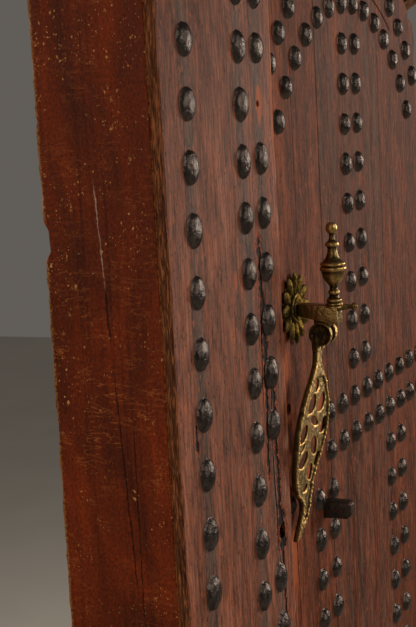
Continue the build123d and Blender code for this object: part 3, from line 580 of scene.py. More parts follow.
def aged_brass(name, brass, patina_and_shade, cast=0.8, sides=0.0, sheen="#f2ece0"):
    """Sand-cast brass, never polished: brown film in the hollows, rubbed gold on the high places."""
    material = new_material(name)
    # The film is clouded every 7 mm, and the skin of the casting has lumps of 4.5 mm and grit of 1.6 mm
    film = {"Vector": "Object", "Scale": 1000 / 7, "Detail": 6.0, "Roughness": 0.7}
    film = add(material, "TexNoise", film)
    grit = add(material, "TexNoise", {"Vector": "Object", "Scale": 1000 / 1.6, "Detail": 3.0})
    lumps = add(material, "TexNoise", {"Vector": "Object", "Scale": 1000 / 4.5, "Detail": 3.0})
    shape = add(material, "NewGeometry")
    high = {"Value": (shape, "Pointiness"), "From Min": 0.44, "From Max": 0.56}
    high = add(material, "MapRange", high)
    worn = add(material, "Math", {0: high, 1: film}, operation="ADD")
    worn = add(material, "Math", {0: worn, 1: 0.5}, operation="MULTIPLY")
    tones = [(0.40, patina_and_shade)] + shades(brass, (0.51, 0.6), (0.64, 1.0))
    colour = add(material, "ValToRGB", {"Fac": worn}, ramp=tones)
    if sides:
        # Painted shade: faces turned towards the free edge, the walls of the openings among them, are
        # darkened to the patina colour
        facing = add(material, "SeparateXYZ", {"Vector": "Normal"})
        colour = painted(material, colour, patina_and_shade, (facing, 1), 0.3, 0.85, sides)
    height = add(material, "Math", {0: lumps, 1: 2.4, 2: grit}, operation="MULTIPLY_ADD")
    bump = add(material, "Bump", {"Height": height, "Strength": cast, "Distance": 0.0010})
    dull, rubbed = 0.28 + cast * 0.3, 0.20 + cast * 0.2
    ends = {"Value": film, "From Min": 0.3, "From Max": 0.7, "To Min": dull, "To Max": rubbed}
    gloss = add(material, "MapRange", ends)
    looks = {"Base_Color": colour, "Roughness": gloss, "Normal": bump}
    return surface(material, Metallic=0.9, Specular_Tint=sheen, **looks)


def studio_floor(name, tone):
    """Painted studio floor, matt: one pale grey, very slightly clouded."""
    material = new_material(name)
    cloud = add(material, "TexNoise", {"Vector": "Object", "Scale": 3.0, "Detail": 2.0})
    colour = add(material, "ValToRGB", {"Fac": cloud}, ramp=shades(tone, (0.3, 0.97), (0.7, 1.0)))
    return surface(material, Base_Color=colour, Roughness=0.8)


# Places where the stain is gone, on the facing board and on the boards: middle and reach, in metres
FACING_BARE = (
    ((0.2415, 0.611, 1.615), (0.01, 0.009, 0.024)),
    ((0.2415, 0.629, 1.395), (0.01, 0.005, 0.050)),
    ((0.2415, 0.606, 1.330), (0.01, 0.004, 0.070)),
    ((0.2415, 0.6795, 1.475), (0.01, 0.004, 0.012)),
    ((0.2415, 0.582, 1.600), (0.01, 0.004, 0.060)),
    ((0.2415, 0.605, 1.243), (0.01, 0.009, 0.026)),
)
PLANK_BARE = (
    ((0.2505, 0.560, 1.200), (0.01, 0.020, 0.045)),
    ((0.2505, 0.506, 1.262), (0.01, 0.006, 0.026)),
    ((0.2505, 0.572, 1.640), (0.01, 0.007, 0.050)),
    ((0.2505, 0.552, 1.380), (0.01, 0.006, 0.020)),
    ((0.2505, 0.470, 1.330), (0.01, 0.010, 0.040)),
)
# Their splits: ends as place and height, width, wander, in metres
FACING_SPLITS = (
    (((0.6285, 1.520), (0.6225, 1.400)), 0.0080, 0.0036),
    (((0.6225, 1.420), (0.6290, 1.280)), 0.0058, 0.0036),
    (((0.6100, 1.405), (0.6060, 1.235)), 0.0072, 0.0042),
    (((0.6245, 1.455), (0.6230, 1.365)), 0.0110, 0.0026),
    (((0.6045, 1.268), (0.6035, 1.220)), 0.0150, 0.0016),
    (((0.6050, 1.255), (0.6010, 1.130)), 0.0040, 0.0030),
    (((0.7710, 1.380), (0.7700, 1.352)), 0.0036, 0.0006),
    (((0.7545, 1.442), (0.7535, 1.424)), 0.0034, 0.0008),
)
PLANK_SPLITS = (
    (((0.5130, 1.700), (0.5090, 1.400)), 0.0008, 0.0012),
    (((0.5460, 1.240), (0.5430, 1.120)), 0.0010, 0.0016),
)
# Rows of studs across the facing board from the free edge, and stud columns of the boards in pitches
ROW_PLACES = (0.045, 0.148, 0.187)
COLUMN_PLACES = (-3, -2, -0.5, 0.5, 2, 3)
# Where the boards are painted lighter and redder in patches, and how far round it
WARM_STRIP = (0.548, 0.045)
finishes = {}


def finish_of(name):
    """The door's materials, each made once."""
    if not finishes:
        scene = bpy.context.scene
        timber, iron, brass = scene.door_timber, scene.door_iron, scene.door_brass
        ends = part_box("centre_studs")
        middle = (ends[0].y + ends[1].y) / 2
        pitch = (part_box("band_studs")[1].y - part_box("band_studs")[0].y) / 12
        rows = [FREE_EDGE - across for across in ROW_PLACES]
        columns = [middle + pitch * place for place in COLUMN_PLACES]
        dull, dark_streak = shade(timber.plank, 0.8), shade(timber.streak, 0.8)
        oak, oak_streak = timber.frame_oak, shade(timber.frame_oak, 1.25)
        metal, rust, gold, film = iron.iron, iron.rust, brass.brass, brass.patina_and_shade
        finishes.update(
            # Stained softwood, sawn: brown boards with red grain, and a facing board rubbed to bare sides
            planks=stained_planks(
                "stained_plank_sawn",
                timber.board,
                shade(timber.streak, 0.88),
                weathered=columns,
                grey=0.4,
                warm=WARM_STRIP,
                bare=PLANK_BARE,
                splits=PLANK_SPLITS,
            ),
            facing=stained_planks(
                "stained_facing_board_sawn",
                shade(timber.plank, 1.08),
                timber.streak,
                weathered=rows,
                bare=FACING_BARE,
                splits=FACING_SPLITS,
                edge=timber.raw,
                gleam=0.06,
            ),
            # Varnish brushed on the sawn edge: a deep red-brown, flaked and chipped
            edge=varnished_edge("varnished_beam_brushed", timber.varnish),
            # The same softwood indoors: darker, with no grey in it
            backing_up=stained_planks("stained_backing_upright", dull, dark_streak),
            backing_across=stained_planks("stained_backing_across", dull, dark_streak, "Y"),
            # Oak, sawn and oiled: an even brown with lighter grain
            frame_up=stained_planks("oiled_oak_upright", oak, oak_streak),
            frame_across=stained_planks("oiled_oak_across", oak, oak_streak, "X"),
            pegs=stained_planks("cleft_oak_end", shade(oak, 1.15), oak, "Y"),
            # Forged iron: oiled and shining on the studs, duller and rustier on what is handled less
            studs=forged_iron("forged_iron_domed", metal, rust),
            hinges=forged_iron("forged_iron_strap", shade(metal, 0.7), rust, 0.5, 0.3),
            peg=forged_iron("forged_iron_peg", shade(metal, 0.8), shade(rust, 1.5), 0.45, 0.35),
            rusty=forged_iron("rusted_iron", shade(metal, 0.7), rust, 0.65, 0.4),
            # Brass: grainy and gold where it is cast, darker in the plate, smooth where it is turned or filed
            # The hammer's faces turned towards the free edge carry painted shade
            brass=aged_brass("sand_cast_brass", shade(gold, 1.02), film, sides=0.85),
            plate=aged_brass(
                "sand_cast_brass_dull", shade(gold, 0.5), shade(film, 0.6), cast=0.7, sheen="#d8c8a4"
            ),
            turned=aged_brass("turned_brass", shade(gold, 0.86), film, 0.3),
            # Painted shade: the arm's brass is darker than that of the other castings
            arm=aged_brass("filed_brass", shade(gold, 0.7), film, 0.4),
        )
    return finishes[name]


# Pieces


UPRIGHTS = ("hinge_stile", "centre_muntin", "side_muntin", "lower_muntin")
RAILS = ("arched_rail", "band_rail", "lower_rail", "bottom_rail")


class DOOR_OT_timbers(bpy.types.Operator):
    """Softens the arrises of the frame, the backing and the planks"""

    bl_idname = "door.timbers"
    bl_label = "Timbers"

    def execute(self, context):
        timber = context.scene.door_timber
        heavy = timber.arris * 1.6
        plan = (
            ("backing_up", "leaf", "backing_wood", timber.arris, UPRIGHTS),
            ("backing_across", "leaf", "backing_wood", timber.arris, RAILS),
            ("planks", "leaf", "board_wood", 0.0009, ("board_1", "board_2", "board_3")),
            ("frame_up", "frame", "frame_wood", heavy, ("strike_jamb", "hinge_jamb")),
            ("frame_across", "frame", "frame_wood", heavy, ("frame_head", "threshold")),
        )
        for finish, body, slot, arris, nodes in plan:
            for node in nodes:
                piece = flat_copy(node)
                soften(piece, arris, smooth=False)
                finished(piece, node + "_worn", finish_of(finish), body, slot, node)
        return {"FINISHED"}


def flatten(piece, axis, place, reach=0.0006):
    """Lays the points that lie near a plane exactly on it."""
    keep = Vector([0.0 if i == axis else 1.0 for i in range(3)])
    middle = Vector([place if i == axis else 0.0 for i in range(3)])
    pick(piece, lambda v: abs(v.co[axis] - place) < reach)
    bpy.ops.transform.resize(value=keep, center_override=middle)


def worn_border(piece, test, width, segments, wander, uniform, seed):
    """Rounds the edges whose middle passes a test, and lets the new border wander."""
    pick(piece, lambda edge: test(middle_of(edge)), "edges")
    bpy.ops.mesh.bevel(offset=width, segments=segments, affect="EDGES")
    bpy.ops.transform.vertex_random(offset=wander, uniform=uniform, seed=seed)


def lay_flush(piece, face):
    """Lays a worn timber's sides back on the plane of the free edge and on that of its own face."""
    flatten(piece, 1, FREE_EDGE)
    pick(piece, lambda v: v.co.y > FREE_EDGE)
    bpy.ops.transform.resize(value=(1, 0, 1), center_override=(0, FREE_EDGE, 0))
    flatten(piece, 0, face)


# Losses from the free edge's room border: height, reach up and down, depth
EDGE_LOSSES = ((1.522, 0.012, 0.0045), (1.205, 0.007, 0.002), (1.378, 0.007, 0.0015))
# How far in from the two sides a loss takes the border
LOSS_WIDTH = 0.0035


class DOOR_OT_free_edge(bpy.types.Operator):
    """Makes the varnished free edge and the facing board with their chipped borders"""

    bl_idname = "door.free_edge"
    bl_label = "Free edge"

    def execute(self, context):
        timber = context.scene.door_timber

        def on_free_edge(place):
            return place.y > FREE_EDGE - NEAR

        def room_border(place):
            return place.x > ROOM_FACE - NEAR and on_free_edge(place)

        def street_border(place):
            return place.x < BOARD_FACE + NEAR and on_free_edge(place)

        def outer_border(place):
            return place.x < FACING_FACE + NEAR and (on_free_edge(place) or place.y < FACING_END + NEAR)

        def inner_border(place):
            return place.x > BOARD_FACE - NEAR and on_free_edge(place)

        stile = flat_copy("lock_stile")
        low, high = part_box("lock_stile")
        slice_along(stile, 2, low.z + 0.012, high.z - 0.07, step=0.0075)
        with editing(stile, "EDGE"):
            worn_border(stile, room_border, timber.worn_arris, 2, timber.chip, uniform=0.6, seed=4)
            worn_border(stile, street_border, 0.0012, 1, wander=0.0003, uniform=0.5, seed=7)
        with editing(stile, "VERT"):
            for height, reach, depth in EDGE_LOSSES:
                pick(
                    stile,
                    lambda v: v.co.x > ROOM_FACE - LOSS_WIDTH
                    and v.co.y > FREE_EDGE - LOSS_WIDTH
                    and abs(v.co.z - height) < reach,
                )
                bpy.ops.transform.translate(value=(-depth, 0, 0))
            lay_flush(stile, ROOM_FACE)
        bpy.ops.object.shade_flat()
        finished(stile, "lock_stile_worn", finish_of("edge"), "leaf", "stile_wood", "lock_stile")

        facing = flat_copy("facing_board")
        low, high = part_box("facing_board")
        slice_along(facing, 2, low.z + 0.012, high.z - 0.16, step=0.013)
        with editing(facing, "EDGE"):
            worn_border(facing, outer_border, 0.0018, 2, wander=0.0005, uniform=0.6, seed=11)
            worn_border(facing, inner_border, 0.0012, 1, wander=0.0005, uniform=0.5, seed=2)
        with editing(facing, "VERT"):
            lay_flush(facing, FACING_FACE)
        bpy.ops.object.shade_flat()
        finished(facing, "facing_board_worn", finish_of("facing"), "leaf", "facing_wood", "facing_board")
        return {"FINISHED"}


def seats_of(node):
    """Seat, radius and height of every stud in a CAD node."""
    spare = cad_copy(node)
    only(spare)
    bpy.ops.object.mode_set(mode="EDIT")
    bpy.ops.mesh.select_all(action="SELECT")
    bpy.ops.mesh.separate(type="LOOSE")
    bpy.ops.object.mode_set(mode="OBJECT")
    seats = []
    for part in list(bpy.context.selected_objects):
        corners = [Vector(corner) for corner in part.bound_box]
        low = Vector([min(c[i] for c in corners) for i in range(3)])
        high = Vector([max(c[i] for c in corners) for i in range(3)])
        y, z = (low.y + high.y) / 2, (low.z + high.z) / 2
        seats.append((high.x, y, z, (high.z - low.z) / 2, high.x - low.x))
        bpy.data.objects.remove(part)
    return sorted(seats, key=lambda seat: (round(seat[1], 4), -round(seat[2], 4)))


def forged_dome(sides, dents, seed):
    """Domed head of unit radius and height, seated on z = 0."""
    dome = start(bpy.ops.mesh.primitive_uv_sphere_add, segments=sides, ring_count=8, radius=1)
    with editing(dome):
        bpy.ops.mesh.select_all(action="SELECT")
        bpy.ops.mesh.bisect(plane_co=(0, 0, -0.02), plane_no=(0, 0, 1), clear_inner=True, use_fill=True)
        pick(dome, lambda v: v.co.z > 0.1)
        bpy.ops.transform.vertex_random(offset=dents, uniform=0.2, seed=seed)
        pick(dome, lambda v: v.co.z < 0)
        bpy.ops.transform.resize(value=(1.04, 1.04, 0))
    only(dome)
    bpy.ops.object.shade_smooth()
    return dome


# Heads against the CAD's: height, width and how far they stand out
HEADS = {
    "row_1_studs": (1.08, 0.98, 0.68),
    "row_2_studs": (1.1, 0.96, 0.76),
    "row_3_studs": (1.1, 0.94, 0.76),
}
OTHER_HEADS = (0.95, 0.92, 0.92)
# Seeds of the four domes whose dents differ
DOME_SEEDS = (3, 8, 14, 21)


class DOOR_OT_studs(bpy.types.Operator):
    """Seats the forged studs of every row, arc and band"""

    bl_idname = "door.studs"
    bl_label = "Studs"

    def execute(self, context):
        iron = context.scene.door_iron
        models = [forged_dome(iron.stud_sides, iron.stud_dents, seed) for seed in DOME_SEEDS]
        draw = random.Random(5)
        studded = [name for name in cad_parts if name.endswith("_studs") or name == "strike_stud"]
        for node in sorted(studded):
            heads = []
            for x, y, z, radius, height in seats_of(node):
                head = loose_copy(draw.choice(models))
                tall, wide, proud = HEADS.get(node, OTHER_HEADS)
                tall = radius * tall * draw.uniform(0.96, 1.04)
                wide = radius * wide * draw.uniform(0.96, 1.04)
                size = Matrix.Diagonal((tall, wide, height * proud * draw.uniform(0.94, 1.06), 1))
                turn = Matrix.Rotation(draw.choice((0, math.pi)) + draw.uniform(-0.2, 0.2), 4, "Z")
                head.data.transform(Matrix.Translation((x, y, z)) @ TO_STREET @ size @ turn)
                heads.append(head)
            finish = "rusty" if node == "strike_stud" else "studs"
            finished(joined(heads), node + "_domed", finish_of(finish), "leaf", "stud_iron", node)
        for model in models:
            bpy.data.objects.remove(model)
        return {"FINISHED"}


def turned(points, steps):
    """Body turned about Z from its side line of radius and height."""
    body = start(bpy.ops.mesh.primitive_plane_add, size=0.001)
    with editing(body):
        bpy.ops.mesh.select_all(action="SELECT")
        bpy.ops.mesh.merge(type="CENTER")
        radius, height = points[0]
        bpy.ops.transform.translate(value=(radius, 0, height))
        for (r0, z0), (r1, z1) in zip(points, points[1:]):
            bpy.ops.mesh.extrude_region_move(TRANSFORM_OT_translate={"value": (r1 - r0, 0, z1 - z0)})
        bpy.ops.mesh.select_all(action="SELECT")
        bpy.ops.mesh.spin(steps=steps, angle=math.tau, center=(0, 0, 0), axis=(0, 0, 1))
        bpy.ops.mesh.select_all(action="SELECT")
        bpy.ops.mesh.remove_doubles(threshold=0.00002)
        bpy.ops.mesh.normals_make_consistent(inside=False)
    only(body)
    bpy.ops.object.shade_smooth_by_angle(angle=math.radians(50))
    return body


def smooth_line(points):
    """Side line with every corner cut off once."""
    cut = [points[0]]
    for (r0, z0), (r1, z1) in zip(points, points[1:]):
        cut.append((r0 * 0.75 + r1 * 0.25, z0 * 0.75 + z1 * 0.25))
        cut.append((r0 * 0.25 + r1 * 0.75, z0 * 0.25 + z1 * 0.75))
    return cut + [points[-1]]


class DOOR_OT_knocker_plate(bpy.types.Operator):
    """Casts the knocker's fluted plate"""

    bl_idname = "door.knocker_plate"
    bl_label = "Knocker plate"

    def execute(self, context):
        brass = context.scene.door_brass
        low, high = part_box("knocker_plate")
        radius = (high.z - low.z) / 2 * 1.09
        # One petal is half an egg, its outer end tipped up
        petal = start(bpy.ops.mesh.primitive_uv_sphere_add, segments=20, ring_count=14, radius=1)
        with editing(petal):
            bpy.ops.mesh.select_all(action="SELECT")
            bpy.ops.mesh.bisect(plane_co=(0, 0, 0), plane_no=(0, 0, 1), clear_inner=True, use_fill=True)
        petal.data.transform(Matrix.Diagonal((0.0125, 0.0062, 0.0040, 1)))
        petal.data.transform(Matrix.Rotation(math.radians(-9), 4, "Y"))
        petal.data.transform(Matrix.Translation((radius - 0.0127, 0, 0.0022)))
        petals = []
        for number in range(brass.petals):
            petals.append(loose_copy(petal))
            petals[-1].data.transform(Matrix.Rotation(math.tau * number / brass.petals, 4, "Z"))
        bpy.data.objects.remove(petal)
        thick = 0.0024
        size = {"radius": radius * 0.80, "depth": thick, "location": (0, 0, thick / 2)}
        disc = start(bpy.ops.mesh.primitive_cylinder_add, vertices=48, **size)
        with editing(disc, "FACE"):
            pick(disc, lambda f: f.normal.z > 0.9, "faces")
            bpy.ops.mesh.inset(thickness=radius * 0.36)
            bpy.ops.mesh.extrude_region_move(TRANSFORM_OT_translate={"value": (0, 0, 0.0042)})
            bpy.ops.transform.resize(value=(0.86, 0.86, 1))
            bpy.ops.mesh.inset(thickness=radius * 0.08)
            bpy.ops.mesh.extrude_region_move(TRANSFORM_OT_translate={"value": (0, 0, 0.0012)})
        plate = joined([disc] + petals)
        melt(plate, 0.00055, rounds=2)
        seat = Vector((high.x, (low.y + high.y) / 2, (low.z + high.z) / 2))
        plate.data.transform(Matrix.Translation(seat) @ TO_STREET)
        finished(plate, "knocker_plate_cast", finish_of("plate"), "leaf", "knocker_brass", "knocker_plate")
        return {"FINISHED"}


# The finial's side line from its foot: radius and height, as shares of its height
FINIAL_SIDE = (
    (0.0, 0.0), (0.116, 0.0), (0.116, 0.022), (0.098, 0.030), (0.098, 0.052), (0.082, 0.060),
    (0.092, 0.078), (0.092, 0.098), (0.066, 0.112), (0.050, 0.150), (0.068, 0.168), (0.068, 0.196),
    (0.044, 0.214), (0.048, 0.262), (0.100, 0.312), (0.130, 0.376), (0.136, 0.432), (0.156, 0.446),
    (0.156, 0.478), (0.128, 0.490), (0.148, 0.502), (0.148, 0.524), (0.120, 0.545), (0.084, 0.580),
    (0.062, 0.632), (0.054, 0.688), (0.060, 0.716), (0.082, 0.728), (0.082, 0.762), (0.046, 0.782),
    (0.030, 0.820), (0.030, 0.866), (0.050, 0.878), (0.068, 0.910), (0.068, 0.956), (0.050, 0.988),
    (0.022, 1.0), (0.0, 1.0),
)


class DOOR_OT_knocker_arm(bpy.types.Operator):
    """Casts the knocker's arm and turns its finial"""

    bl_idname = "door.knocker_arm"
    bl_label = "Knocker arm"

    def execute(self, context):
        arm = flat_copy("knocker_arm")
        soften(arm, 0.0009, angle=38)
        finished(arm, "knocker_arm_cast", finish_of("arm"), "leaf", "knocker_brass", "knocker_arm")

        brass = context.scene.door_brass
        low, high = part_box("knocker_finial")
        foot = low.z + 0.0006
        tall = high.z - foot
        finial = turned(smooth_line([(r * tall, z * tall) for r, z in FINIAL_SIDE]), brass.turns)
        finial.location = ((low.x + high.x) / 2, (low.y + high.y) / 2, foot)
        finish = finish_of("turned")
        finished(finial, "knocker_finial_turned", finish, "leaf", "knocker_brass", "knocker_finial")
        return {"FINISHED"}


# The hammer's plate: depth under the pivot, middle towards the free edge, half width and front, in mm
HAMMER_SIDES = (
    (9, 0, 9.6, 25.4), (16, 0, 7, 25), (24, 0.5, 6.6, 24.8), (31, 1.5, 9, 24.5), (40, 3, 17, 24.2),
    (49, 5, 25.5, 23.8), (66, 8, 36.5, 22.6), (80, 10.2, 40.2, 21.2), (93, 12, 40.5, 19.8),
    (109, 14.5, 37, 17.4), (128, 18, 28, 14.2), (141, 18.5, 21, 12.3), (147, 15, 17, 11.9),
    (151, 13, 12.5, 11.7), (156, 12.5, 10, 11.5), (163, 14, 9.5, 11.2), (172, 21, 8.6, 10.6),
    (180, 27, 5.6, 9.6), (188, 33.5, 1.8, 8.4),
)
# Its leaf-shaped openings: middle towards the free edge, depth, length, width, lean in degrees
HAMMER_LEAVES = (
    (16, 62, 25, 18.5, 150), (-9, 65, 24, 18.5, 145), (-17, 88.5, 21, 16, 150), (8, 80, 26, 10, 24),
    (35, 86, 25, 17, 152), (5, 104, 24, 18.5, 45), (-9, 119, 16, 15, 140), (29, 111, 25, 18, 162),
    (8, 128, 18, 17.5, 62), (16, 141, 15, 8, 166), (4, 47, 14, 11.5, 120), (33, 99, 12, 5, 140),
)


# Outline of an opening: along its length and across its width, as shares of them
LEAF = (
    (-0.5, 0), (-0.46, 0.12), (-0.1, 0.5), (0.3, 0.42),
    (0.5, 0), (0.3, -0.3), (-0.1, -0.34), (-0.46, -0.12),
)
# In mm: the rim's width and thickness, how far its beads lie in from the side, and how far apart
RIM_WIDTH = 4.4
RIM_THICKNESS = 5.6
BEAD_INSET = 2.6
BEAD_PITCH = 4.4


def cast_plate(outlines, thickness, rounding):
    """Flat plate in the YZ plane from its outline and the outlines of its openings."""
    curve = bpy.data.curves.new("plate", "CURVE")
    curve.dimensions = "2D"
    curve.fill_mode = "BOTH"
    curve.extrude = thickness / 2 - rounding
    curve.bevel_depth = rounding
    curve.bevel_resolution = 2
    curve.offset = -rounding
    for outline in outlines:
        spline = curve.splines.new("NURBS")
        spline.points.add(len(outline) - 1)
        for point, (across, up) in zip(spline.points, outline):
            point.co = (across, up, 0, 1)
        spline.use_cyclic_u = True
        spline.order_u = 3
        spline.resolution_u = 5
    plate = bpy.data.objects.new("plate", curve)
    bpy.context.scene.collection.objects.link(plate)
    only(plate)
    bpy.ops.object.convert(target="MESH")
    plate = bpy.context.active_object
    plate.data.transform(Matrix(((0, 0, 1, 0), (1, 0, 0, 0), (0, 1, 0, 0), (0, 0, 0, 1))))
    return plate


def leaf_opening(across, depth, length, width, lean):
    """Outline of one leaf-shaped opening, pointed at both ends."""
    turn = math.radians(lean)
    points = []
    for along, side in LEAF:
        u, v = along * length, side * width
        y = across + u * math.cos(turn) - v * math.sin(turn)
        z = -depth + u * math.sin(turn) + v * math.cos(turn)
        points.append((y / 1000, z / 1000))
    return points


def between(rows, place, column):
    """Value of a column at a place down a table."""
    for first, second in zip(rows, rows[1:]):
        if place <= second[0]:
            share = max(0.0, (place - first[0]) / (second[0] - first[0]))
            return first[column] + (second[column] - first[column]) * share
    return rows[-1][column]


def both_sides(rows, inset=0):
    """Outline round both sides of the hammer, drawn in by an inset in mm."""
    left = [((middle + half - inset) / 1000, -depth / 1000) for depth, middle, half, front in rows]
    right = [((middle - half + inset) / 1000, -depth / 1000) for depth, middle, half, front in reversed(rows)]
    return left + right


def bead_place(depth, side):
    """Where the line of beads lies towards the free edge at a depth, in mm."""
    middle, half = between(HAMMER_SIDES, depth, 1), between(HAMMER_SIDES, depth, 2)
    return middle + side * max(0, half - BEAD_INSET)


class DOOR_OT_knocker_hammer(bpy.types.Operator):
    """Casts the pierced drop hammer"""

    bl_idname = "door.knocker_hammer"
    bl_label = "Knocker hammer"

    def execute(self, context):
        outline = both_sides(HAMMER_SIDES)
        plate = cast_plate([outline] + [leaf_opening(*leaf) for leaf in HAMMER_LEAVES], 0.0026, 0.0010)
        # The rim is open in the middle where the plate is broad
        broad = [row for row in HAMMER_SIDES if row[2] > 8.5 and row[0] > 35]
        rim = cast_plate([outline, both_sides(broad, RIM_WIDTH)], RIM_THICKNESS / 1000, 0.0019)
        parts = [plate, rim]
        bead = start(bpy.ops.mesh.primitive_ico_sphere_add, subdivisions=2, radius=1)
        draw = random.Random(3)
        for side in (1, -1):
            run = 0.0
            for depth in range(38, 186):
                place = bead_place(depth, side)
                run += math.hypot(1, bead_place(depth + 1, side) - place)
                if run > BEAD_PITCH:
                    run -= BEAD_PITCH
                    seat = (-0.0022, place / 1000 + draw.uniform(-0.0006, 0.0006), -depth / 1000)
                    size = Matrix.Scale(draw.uniform(0.0010, 0.0017), 4)
                    parts.append(loose_copy(bead))
                    parts[-1].data.transform(Matrix.Translation(seat) @ size)
        bpy.data.objects.remove(bead)
        hammer = joined(parts)
        only(hammer)
        bpy.ops.object.transform_apply(location=True, rotation=True, scale=True)
        # The flat casting is bent until its front stands as far out as the table says
        for vertex in hammer.data.vertices:
            front = between(HAMMER_SIDES, -vertex.co.z * 1000, 3)
            vertex.co.x -= (front - RIM_THICKNESS / 2) / 1000
        # Two eyes take the pin, either side of the arm, each on a lug down to the plate
        eyes = []
        for side in (1, -1):
            size = {"vertices": 48, "radius": 0.0108, "depth": 0.0056}
            turn = (math.radians(-90 * side), 0, 0)
            place = (-0.0285, side * 0.0072, 0)
            eye = start(bpy.ops.mesh.primitive_cylinder_add, location=place, rotation=turn, **size)
            bpy.ops.object.transform_apply(location=True, rotation=True, scale=True)
            with editing(eye, "FACE"):
                pick(eye, lambda f: f.normal.y * side > 0.9, "faces")
                bpy.ops.mesh.inset(thickness=0.0024)
                bpy.ops.transform.translate(value=(0, -side * 0.0014, 0))
            near, far = sorted((side * 0.0044, side * 0.0098))
            eyes += [eye, add_block((-0.0262, near, -0.015), (-0.0202, far, 0))]
        hammer = joined([hammer] + eyes)
        hammer.data.transform(Matrix.Translation((BOARD_FACE, ARM_MIDDLE, PIVOT_Z)))
        melt(hammer, context.scene.door_brass.voxel, rounds=1)
        finish = finish_of("brass")
        finished(hammer, "knocker_hammer_cast", finish, "hammer", "knocker_brass", "knocker_hammer")
        return {"FINISHED"}


# CAD nodes that keep their shape and only take a finish
PLAIN_NODES = {
    "hinges": ("door_bolt", "strap_nails", "pintle_nails", "staple_nails", "keeper_nails"),
    "rusty": ("knocker_washer", "knocker_nut", "knocker_pin"),
    "pegs": ("frame_pegs",),
}


class DOOR_OT_ironwork(bpy.types.Operator):
    """Softens the ironwork, and gives the plain nodes their finish"""

    bl_idname = "door.ironwork"
    bl_label = "Ironwork"

    def execute(self, context):
        plan = [
            ("iron_peg", "peg", "leaf", "peg_iron", 0.0009),
            ("peg_washer", "peg", "leaf", "peg_iron", 0.0008),
            ("peg_wedge", "peg", "leaf", "peg_iron", 0.0006),
        ]
        for place in ("top", "middle", "bottom"):
            plan.append(("strap_" + place, "hinges", "leaf", "hinge_iron", 0.0011))
            plan.append(("pintle_" + place, "hinges", "frame", "hinge_iron", 0.0011))
        plan.append(("bolt_staples", "hinges", "leaf", "hinge_iron", 0.0009))
        plan.append(("bolt_keeper", "hinges", "frame", "hinge_iron", 0.0009))
        for node, finish, body, slot, arris in plan:
            piece = flat_copy(node)
            if node == "iron_peg":
                # What stands out of the boards is hammered slimmer
                middle = (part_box(node)[0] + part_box(node)[1]) / 2
                with editing(piece):
                    pick(piece, lambda v: v.co.x < BOARD_FACE - 0.002)
                    centre = (BOARD_FACE, middle.y, middle.z)
                    bpy.ops.transform.resize(value=(1, 0.82, 0.82), center_override=centre)
            soften(piece, arris)
            finished(piece, node + "_forged", finish_of(finish), body, slot, node)
        for finish, nodes in PLAIN_NODES.items():
            for node in nodes:
                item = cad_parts[node]
                item.data.materials.clear()
                item.data.materials.append(finish_of(finish))
        return {"FINISHED"}


# The photograph's view: what is right and up in it, and where it is taken from
CAMERA_RIGHT = Vector((-0.9134, -0.4036, -0.0530))
CAMERA_UP = Vector((0.0119, -0.1565, 0.9876))
CAMERA_PLACE = (-0.2045, 1.7255, 1.620)


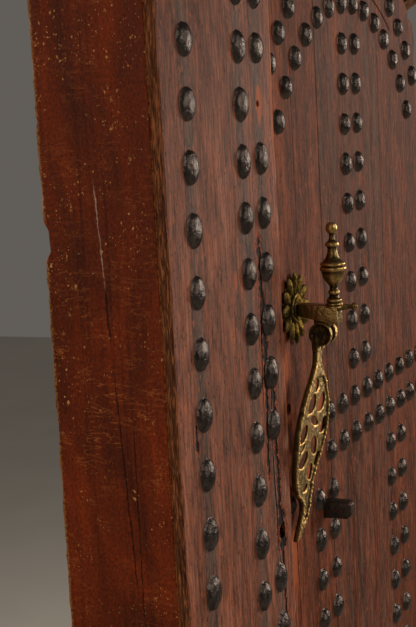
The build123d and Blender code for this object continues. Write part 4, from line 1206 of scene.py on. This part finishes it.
class DOOR_OT_stage(bpy.types.Operator):
    """Lays the floor, hangs the lights and sets the camera"""

    bl_idname = "door.stage"
    bl_label = "Stage"

    def execute(self, context):
        scene = context.scene
        stage = scene.door_stage
        floor = start(bpy.ops.mesh.primitive_plane_add, size=14, location=(0, 0, 0))
        floor.name = "studio_floor"
        floor.data.materials.append(studio_floor("painted_floor_matt", stage.floor))

        def area(name, place, target, size, power, tone):
            bpy.ops.object.light_add(type="AREA", location=place)
            light = context.active_object
            light.name = name
            light.data.shape = "RECTANGLE"
            light.data.size, light.data.size_y = size
            light.data.energy = power
            light.data.color = linear(tone)[:3]
            light.rotation_mode = "QUATERNION"
            light.rotation_quaternion = (Vector(target) - Vector(place)).to_track_quat("-Z", "Y")

        leaf = (BOARD_FACE, FREE_EDGE - 0.35, 1.35)
        area("key_light", (-1.25, -2.3, 1.75), leaf, (0.9, 1.2), stage.key, "#fff3e4")
        area("front_light", (-2.6, 0.3, 2.3), leaf, (1.6, 1.6), stage.front, "#fff3e4")
        area("room_light", (2.6, 0.3, 2.2), leaf, (1.6, 1.6), stage.front, "#fff3e4")
        area("fill_light", (0.6, 3.4, 2.3), leaf, (2.2, 2.2), stage.fill, "#fff0e0")

        world = bpy.data.worlds.new("studio")
        scene.world = world
        world.use_nodes = True
        background = world.node_tree.nodes["Background"]
        background.inputs["Color"].default_value = linear(stage.room)
        background.inputs["Strength"].default_value = 0.45

        camera_data = bpy.data.cameras.new("camera")
        camera_data.lens = stage.lens
        camera_data.sensor_width = 36
        camera_data.clip_start = 0.05
        camera = bpy.data.objects.new("camera", camera_data)
        scene.collection.objects.link(camera)
        back = CAMERA_RIGHT.cross(CAMERA_UP).normalized()
        turn = Matrix((CAMERA_RIGHT, CAMERA_UP, back)).transposed().to_4x4()
        camera.matrix_world = Matrix.Translation(CAMERA_PLACE) @ turn
        scene.camera = camera
        scene.view_settings.view_transform = "Standard"
        return {"FINISHED"}


class DOOR_PT_panel(bpy.types.Panel):
    """Lists the door's pieces in the sidebar"""

    bl_label = "Door"
    bl_idname = "DOOR_PT_panel"
    bl_space_type = "VIEW_3D"
    bl_region_type = "UI"
    bl_category = "Door"

    def draw(self, context):
        for name in OPERATORS:
            self.layout.operator(name)


OPERATORS = (
    "door.timbers",
    "door.free_edge",
    "door.studs",
    "door.knocker_plate",
    "door.knocker_arm",
    "door.knocker_hammer",
    "door.ironwork",
    "door.stage",
)
CLASSES = (
    DoorTimber,
    DoorIron,
    DoorBrass,
    DoorStage,
    DOOR_OT_timbers,
    DOOR_OT_free_edge,
    DOOR_OT_studs,
    DOOR_OT_knocker_plate,
    DOOR_OT_knocker_arm,
    DOOR_OT_knocker_hammer,
    DOOR_OT_ironwork,
    DOOR_OT_stage,
    DOOR_PT_panel,
)
SETTINGS = (
    ("door_timber", DoorTimber),
    ("door_iron", DoorIron),
    ("door_brass", DoorBrass),
    ("door_stage", DoorStage),
)


def register():
    for item in CLASSES:
        bpy.utils.register_class(item)
    for name, group in SETTINGS:
        setattr(bpy.types.Scene, name, bpy.props.PointerProperty(type=group))


def unregister():
    for name, group in SETTINGS:
        delattr(bpy.types.Scene, name)
    for item in reversed(CLASSES):
        bpy.utils.unregister_class(item)


def main():
    """Makes every piece in turn."""
    register()
    for name in OPERATORS:
        group, operator = name.split(".")
        getattr(getattr(bpy.ops, group), operator)()


if __name__ == "__main__":
    main()
